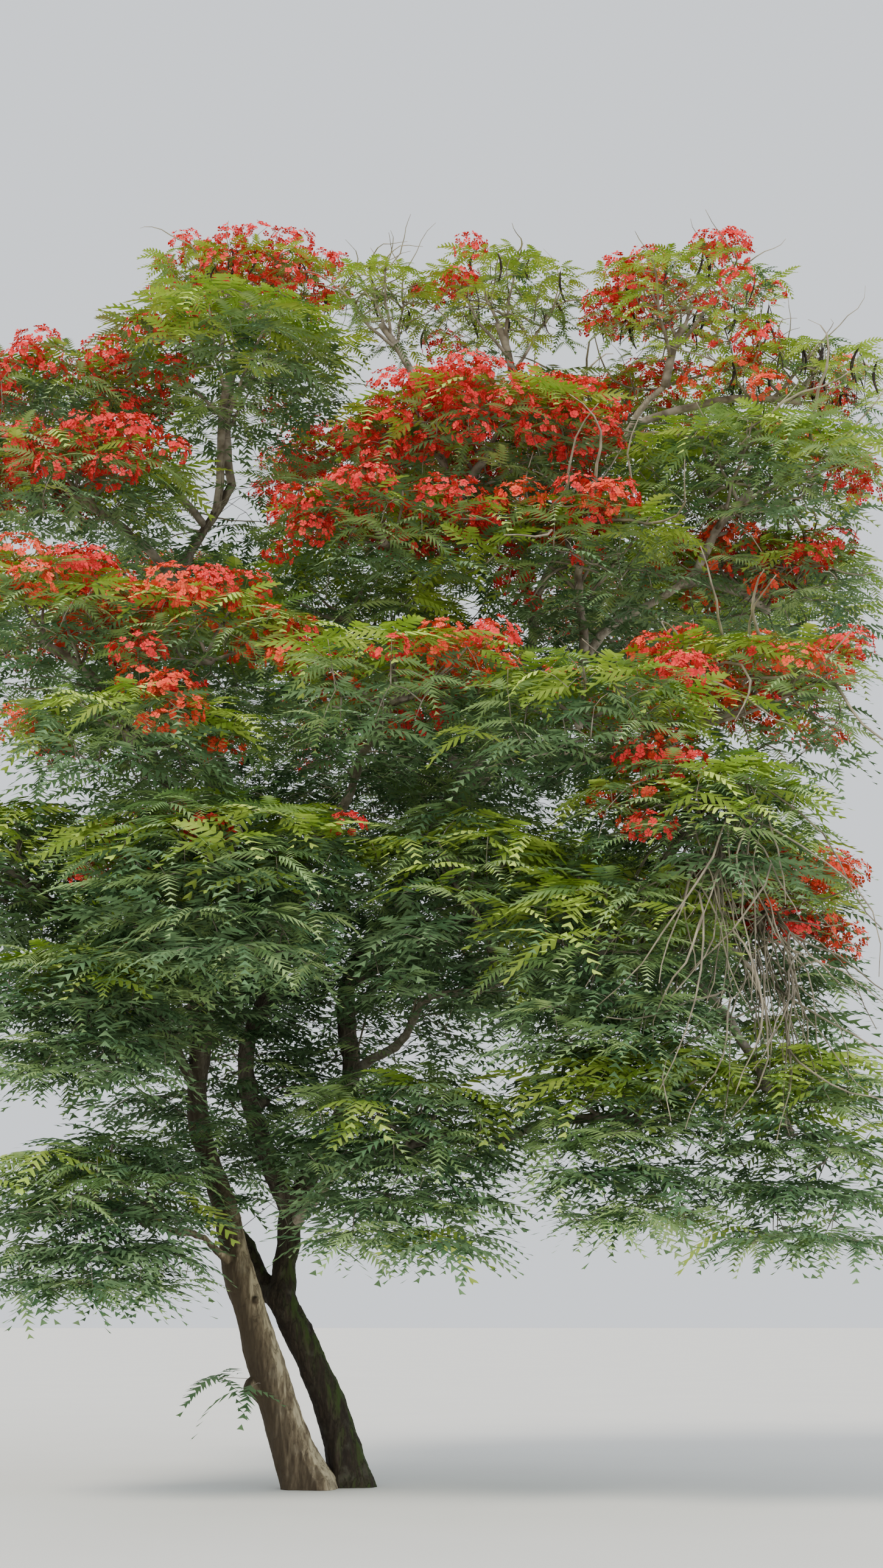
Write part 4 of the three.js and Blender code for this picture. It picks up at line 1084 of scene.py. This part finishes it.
tierTwigs = [twig for tier in tiers for twig in growTwigs(tier)]
boughTwigs = growBoughTwigs()
allTwigs = tierTwigs + boughTwigs
planClusters(allTwigs)
leaves = growLeaves(allTwigs)
way = leaves["way"]
up = np.column_stack([-leaves["tilt"] * way[:, 1], leaves["tilt"] * way[:, 0], np.ones(len(way))])
turns = turnsOf(way, up) * leaves["length"][:, None, None]
# painted light: the sunlit, half-shaded and shaded greens are one leaf green dealt out by spray
tones = (("leavesInSun", leafSun), ("leavesGrown", leafGreen), ("leavesInShade", leafShade))
right = leaves["root"][:, 0] > leafShape["partedAt"]
for side, mine in (("Left", ~right), ("Right", right)):
    for tone, (name, material) in enumerate(tones):
        pile = newPile()
        for kind, arch in enumerate(leafShape["arches"]):
            chosen = mine & (leaves["tone"] == tone) & (leaves["kind"] == kind)
            addCopies(pile, makeLeaf(arch, *leafShape["kinds"][tone]), turns[chosen], leaves["root"][chosen])
        pieceOf(pile, name + side, material, tierNodes)
print("foliage:", len(tierTwigs), "twigs in the tiers,", len(boughTwigs), "on the boughs,",
      len(way), "leaves")


# Wood of the tiers: their stems and arms, and all the leafy twigs
wood = dict(
    # the stems wander: how far in metres, waves to a metre, how unlike the axes are, and their girth's share
    stemSides=8, stemStep=0.12, stemRings=6, stemWander=0.024, wanderWaves=3, wanderApart=7, girthWander=0.12,
    armSides=6, armRings=7, armSag=0.05, armSwing=0.02, armWaves=9,
    armTaper=(1.25, 0.6),   # at both ends, of the radii of the solids' arms
    twigSides=3, twigRings=3, twigFoot=1.4,
)


def growWood():
    pile = newPile()
    for tier in tiers:
        rings = max(wood["stemRings"], round(tier["length"] / wood["stemStep"]))
        shares = np.linspace(0, 1, rings + 1)
        path = tier["line"](shares)
        waves, apart = wood["wanderWaves"], wood["wanderApart"]
        wander = np.array([[noise.noise(Vector(point * waves + np.array([0, 0, axis * apart])))
                            for axis in range(3)] for point in path])
        path = path + wander * wood["stemWander"]
        radii = mix(rule["tierStem"], shares) * (1 + wood["girthWander"] * wander[:, 0])
        addTubes(pile, path[None], radii[None], wood["stemSides"])
    shares = np.linspace(0, 1, wood["armRings"])
    arms = [arm for tier in tiers for arm in tier["arms"]]
    roots = np.array([arm["root"] for arm in arms])
    tips = np.array([arm["tip"] for arm in arms])
    length = np.linalg.norm(tips - roots, axis=1)
    paths = roots[:, None] + (tips - roots)[:, None] * shares[None, :, None]
    bow = np.sin(math.pi * shares)[None]
    bend = bow * length[:, None] * wood["armSag"]
    swing = np.sin(shares * wood["armWaves"])[None] * length[:, None] * wood["armSwing"] * bow
    paths[:, :, 2] -= bend
    paths[:, :, 0] += swing
    paths[:, :, 1] -= swing
    ends = [radius * taper for radius, taper in zip(rule["arm"], wood["armTaper"])]
    radii = mix(ends, shares)[None] * np.ones((len(arms), 1))
    addTubes(pile, paths, radii, wood["armSides"])
    shares = np.linspace(0, 1, wood["twigRings"])
    paths = np.array([[onTwig(twig, share) for share in shares] for twig in allTwigs])
    thin, thick = finer["radius"]
    roots = np.array([min(thick, thin * wood["twigFoot"] * math.sqrt(1 + twig["load"]))
                      for twig in allTwigs])
    radii = roots[:, None] + (thin - roots)[:, None] * shares[None]
    addTubes(pile, paths, radii, wood["twigSides"])
    return pile


# Bare twigs: thin ones of the boughs, those that stand out of the airy tiers, and the grey hanging tangle
bare = dict(
    rings=9, sides=4,
    boughShare=(0.25, 0.98), armShare=(0.3, 1),   # along a bough and an arm, where they root
    branchRing=(2, 4),       # the first ring that another may leave, and how many of them may carry one
    kindStep=101,            # between the dice of two kinds in one tier
    keeps=0.55,              # how much of its turn a twig keeps from ring to ring
    # for each kind: the tiers that have it and how many each, length, radius at both ends, how much it
    # turns from ring to ring, how much it bends down, the headings and rise it starts with
    boughs=dict(count=9, length=(0.7, 1.9), radius=(0.014, 0.004), curl=0.32, hang=0.05, to=(0, 360),
                rise=(-0.2, 0.7)),
    kinds=(
        dict(tiers=finer["airy"], count=34, length=(0.6, 1.6), radius=(0.016, 0.004), curl=0.36, hang=-0.02,
             to=(0, 360), rise=(0.0, 0.8)),
        dict(tiers=("right_slope", "right_heart", "right_side", "right_middle", "right_bloom"), count=18,
             length=(1.2, 2.6), radius=(0.03, 0.008), curl=0.4, hang=0.02, to=(200, 340), rise=(-0.2, 0.25)),
        dict(tiers=("right_tangle", "right_low"), count=190, length=(1.3, 3.3),
             radius=(0.016, 0.006), curl=0.34, hang=0.27, to=(220, 320), rise=(-1.0, -0.1), branching=0.55,
             start=(4.6, -9), end=(6.1, -2.3)),   # x and y between which it hangs
    ),
    # those that stand alone: the limb, its share, radius at both ends, bends in metres from the root
    alone=(
        ("leader_middle", 0.35, (0.022, 0.007),
         ((0.35, -0.2, 0.33), (0.85, -0.35, 0.17), (1.35, -0.45, -0.2))),
        ("leader_right", 0.45, (0.02, 0.006),
         ((0.38, -0.5, 0.05), (0.08, -0.6, -1.2), (-0.3, -0.65, -1.9), (0.15, -0.75, -2.4))),
        ("bough_right_low", 0.98, (0.06, 0.02),
         ((0.05, -0.6, -1.1), (0.35, -0.9, -1.0), (0.75, -1.0, -0.8), (1.2, -1.0, -0.9), (1.45, -0.95, -1.4),
          (1.35, -0.9, -2.0))),
    ),
    # metres: where the boughs begin to have them, how low they hang, how far they reach in front and above
    lowest=4.5, hangsTo=4.0, frontAt=-5.5, overTop=0.2,
)


def bareTwig(root, way, kind, roll):
    points = [root]
    way = way / np.linalg.norm(way)
    step = between(roll, *kind["length"]) / (bare["rings"] - 1)
    turn = np.zeros(3)
    for _ in range(bare["rings"] - 1):
        turn = bare["keeps"] * turn + np.array([spread(roll, kind["curl"]) for _ in range(3)])
        way = way + turn + np.array([0, 0, -kind["hang"]])
        way = way / np.linalg.norm(way)
        points.append(points[-1] + way * step)
    return np.array(points)


def growBareTwigs():
    paths, radii = [], []

    def grow(root, kind, roll):
        way = headingOf(math.radians(between(roll, *kind["to"])))
        way = way + np.array([0, 0, between(roll, *kind["rise"])])
        paths.append(bareTwig(root, way, kind, roll))
        radii.append(mix(kind["radius"], np.linspace(0, 1, bare["rings"])))

    for number, limb in enumerate(limbs.values()):
        roll = dice("boughBare", number)
        for _ in range(bare["boughs"]["count"]):
            root = limb["line"](between(roll, *bare["boughShare"]))
            if root[2] > bare["lowest"]:
                grow(root, bare["boughs"], roll)
    for order, kind in enumerate(bare["kinds"]):
        low, high = kind.get("start", (-9, -9)), kind.get("end", (9, 9))
        for tier in tiers:
            if tier["name"] not in kind["tiers"] or not tier["arms"]:
                continue
            roll = dice("tierBare", tier["order"], bare["kindStep"] * order)
            first = len(paths)
            inner, many = bare["branchRing"]
            for _ in range(kind["count"]):
                arm = tier["arms"][int(len(tier["arms"]) * roll())]
                root = arm["root"] + (arm["tip"] - arm["root"]) * between(roll, *bare["armShare"])
                if len(paths) > first and roll() < kind.get("branching", 0):
                    root = paths[first + int((len(paths) - first) * roll())][inner + int(many * roll())]
                if ((root[:2] > low) & (root[:2] < high)).all():
                    grow(root, kind, roll)
    for name, share, ends, bends in bare["alone"]:
        marks = limbs[name]["line"](share) + np.array([(0, 0, 0), *bends])
        places = np.linspace(0, len(bends), bare["rings"])
        course = [np.interp(places, range(len(marks)), marks[:, axis]) for axis in range(3)]
        paths.append(np.column_stack(course))
        radii.append(mix(ends, np.linspace(0, 1, bare["rings"])))
    paths, radii = np.array(paths), np.array(radii)
    low, high = (np.array(corner) for corner in cadBounds)
    low[1:] = bare["frontAt"], bare["hangsTo"]
    fits = ((paths > low) & (paths < high + [0, 0, bare["overTop"]])).all((1, 2))
    return paths[fits], radii[fits]


pieceOf(growWood(), "twigs", twigBark, tierNodes)
barePile = newPile()
addTubes(barePile, *growBareTwigs(), bare["sides"])
pieceOf(barePile, "bareTwigs", dryBark)


# Flowers
def makeFlower():  # spoon-shaped petals, the last one upright
    points, faces = [], []
    for petal in range(blossom["petals"]):
        angle = petal * 2 * math.pi / blossom["petals"]
        out = np.array([math.cos(angle), math.sin(angle), 0])
        side = np.array([-math.sin(angle), math.cos(angle), 0]) * blossom["petalHalf"]
        rise = blossom["petalRise"][petal == blossom["petals"] - 1]
        wide, tip = (np.array([0, 0, curve * rise]) for curve in blossom["petalCurve"])
        middle = out * blossom["petalAt"]
        first = len(points)
        points += [out * blossom["petalFoot"], middle - side + wide, out + tip, middle + side + wide]
        faces += [(first, first + 1, first + 3), (first + 1, first + 2, first + 3)]
    return np.array(points, float), np.array(faces)


def growBlossom():
    rows = []
    for number, twig in enumerate(tierTwigs):
        if not twig["cluster"]:
            continue
        roll = dice("flowers", number)
        centre = twig["tip"] + headingOf(twig["angle"]) * blossom["outward"]
        centre = centre + np.array([0, 0, blossom["lift"]])
        radius = between(roll, *blossom["cluster"])
        tone = roll() < blossom["orangeShare"]
        for _ in range(int(blossom["flowers"] * radius**2)):
            turn, height = between(roll, 0, 2 * math.pi), between(roll, *blossom["heights"])
            way = headingOf(turn) * math.sqrt(1 - height**2) + np.array([0, 0, height])
            size = np.array([blossom["wide"], blossom["wide"], blossom["flat"]])
            spot = centre + way * radius * between(roll, *blossom["shell"]) * size
            rows.append((*spot, *way, between(roll, *blossom["flower"]), roll() * blossom["spin"], tone,
                         twig["tier"]["order"], *twig["tip"]))
    found = columnsOf(rows, place=3, facing=3, radius=1, spin=1, orange=1, tier=1, twigEnd=3)
    keep = inOwnTier(found["tier"], found["place"], blossom["margin"])
    keep &= inBox(found["place"], blossom["boxRoom"])
    return {name: values[keep] for name, values in found.items()}


flowers = growBlossom()
spin = flowers["spin"]
across = np.column_stack([np.cos(spin), np.sin(spin), 0.3 * np.cos(3 * spin)])
faceUp = flowers["facing"] + np.array([0, 0, 0.5])
across = across - faceUp * ((across * faceUp).sum(1) / (faceUp * faceUp).sum(1))[:, None]
turns = turnsOf(across, faceUp) * flowers["radius"][:, None, None]
for tone, (name, material) in enumerate((("blossomScarlet", petalScarlet), ("blossomOrange", petalOrange))):
    pile = newPile()
    mine = flowers["orange"] == tone
    addCopies(pile, makeFlower(), turns[mine], flowers["place"][mine])
    pieceOf(pile, name, material)
some = slice(None, None, blossom["stalkEvery"])
stalks = np.stack([flowers["twigEnd"][some], flowers["place"][some]], axis=1)
pile = newPile()
addTubes(pile, stalks, np.array([blossom["stalk"]] * len(stalks)), 3)
pieceOf(pile, "flowerStalks", stalkGreen)
print("blossom:", len(spin), "flowers")


# Pods: long flat blades that hang under the tiers that bear them
pod = dict(
    length=(0.36, 0.5), rings=7, sway=0.3, turn=6.28,
    # as shares of its length: width, thickness, and how far it curves to one side and starts to the other
    width=0.05, thickness=0.012, curve=0.12, start=0.02,
    share=0.42, richest=3,   # of the twigs in a tier as rich in pods as this or more
    twigShare=(0.5, 1),      # along a twig, where they hang
)


def makePod():
    points, faces = [], []
    steps = pod["rings"]
    for step in range(steps):
        share = step / (steps - 1)
        half = pod["width"] / 2 * math.sin(math.pi * (0.06 + 0.88 * share))**0.5
        centre = np.array([share, pod["curve"] * math.sin(math.pi * share) - pod["start"], 0])
        thick = pod["thickness"] / 2 * (0.4 + 0.6 * math.sin(math.pi * share))
        points += [centre + [0, 2 * half, 0], centre + [0, 0, 2 * thick], centre - [0, 2 * half, 0],
                   centre - [0, 0, 2 * thick]]
    for step in range(steps - 1):
        for i in range(4):
            a, b = step * 4 + i, step * 4 + (i + 1) % 4
            faces += [(a, b, b + 4), (a, b + 4, a + 4)]
    last = (steps - 1) * 4
    faces += [(0, 2, 1), (0, 3, 2), (last, last + 1, last + 2), (last, last + 2, last + 3)]
    return np.array(points), np.array(faces)


def growPods():
    rows = []
    for number, twig in enumerate(tierTwigs):
        roll = dice("pods", number)
        bears = twig["tier"]["row"].get("pods", 0)
        if twig["layer"] < 2 and roll() < pod["share"] * min(1, bears / pod["richest"]):
            for _ in range(1 + int(2 * roll())):
                place = onTwig(twig, between(roll, *pod["twigShare"]))
                rows.append((*place, spread(roll, pod["sway"]), spread(roll, pod["sway"]), -1,
                             between(roll, *pod["length"]), between(roll, 0, pod["turn"])))
    return columnsOf(rows, place=3, way=3, length=1, turn=1)


pods = growPods()
turned = pods["turn"]
facing = np.column_stack([np.cos(turned), np.sin(turned), np.zeros(len(turned))])
turns = turnsOf(pods["way"], facing) * pods["length"][:, None, None]
podPile = newPile()
addCopies(podPile, makePod(), turns, pods["place"])
pieceOf(podPile, "pods", podShell)
print("pods:", len(turned))


# Floor, light and camera
studio = dict(
    floorSize=600, floorDrop=0.002, floorPatch=2500,   # metres, and a patch of its grain in millimetres
    floorStops=((0.3, "#d6d5d0"), (0.7, "#d9d8d3")),
    skyColour="#dde2e8", skyStrength=1.45,
    sun=dict(colour="#fff6e6", strength=3.0, angle=25, comesFrom=(-0.45, -0.6, 0.85)),
    fill=dict(colour="#e4edff", strength=1.6, angle=60, comesFrom=(0.7, -0.7, 0.3)),
)
view = dict(
    place=(1.75, -30.0, 2.26), pitch=13.7, focalPixels=3560, photoHeight=2576, sensor=24, farthest=500)

bpy.ops.object.select_all(action="DESELECT")
bpy.ops.mesh.primitive_plane_add(size=studio["floorSize"], location=(0, 0, -studio["floorDrop"]))
floor = bpy.context.object
floor.name = "studioFloor"
floorMaterial, floorTree, floorShader = newMaterial("studioFloorPaint", 0.9)
floorPlace = addNode(floorTree, "ShaderNodeTexCoord").outputs["Object"]
floorGrain = addNode(floorTree, "ShaderNodeTexNoise", {
    "Vector": floorPlace, "Scale": 1000 / studio["floorPatch"]}).outputs["Fac"]
floorColour = addNode(floorTree, "ShaderNodeValToRGB", {"Fac": floorGrain}, stops=studio["floorStops"])
floorTree.links.new(floorColour.outputs["Color"], floorShader.inputs["Base Color"])
floor.data.materials.append(floorMaterial)


def addSun(name, colour, strength, angle, comesFrom):
    bpy.ops.object.light_add(type="SUN", location=(0, 0, 30))
    lamp = bpy.context.object
    lamp.name = name
    lamp.data.color = linearColour(colour)[:3]
    lamp.data.energy = strength
    lamp.data.angle = math.radians(angle)
    lamp.rotation_euler = Vector(comesFrom).to_track_quat("Z", "Y").to_euler()


addSun("keyLight", **studio["sun"])
addSun("fillLight", **studio["fill"])
world = bpy.data.worlds.new("softSky")
world.use_nodes = True
sky = world.node_tree.nodes["Background"].inputs
sky["Color"].default_value = linearColour(studio["skyColour"])
sky["Strength"].default_value = studio["skyStrength"]
bpy.context.scene.world = world

bpy.ops.object.camera_add(location=view["place"], rotation=(math.radians(90 + view["pitch"]), 0, 0))
camera = bpy.context.object
camera.name = "photoView"
camera.data.sensor_fit = "VERTICAL"
camera.data.sensor_height = view["sensor"]
camera.data.lens = view["sensor"] * view["focalPixels"] / view["photoHeight"]
camera.data.clip_end = view["farthest"]
bpy.context.scene.camera = camera
print("studio: floor, light and camera")
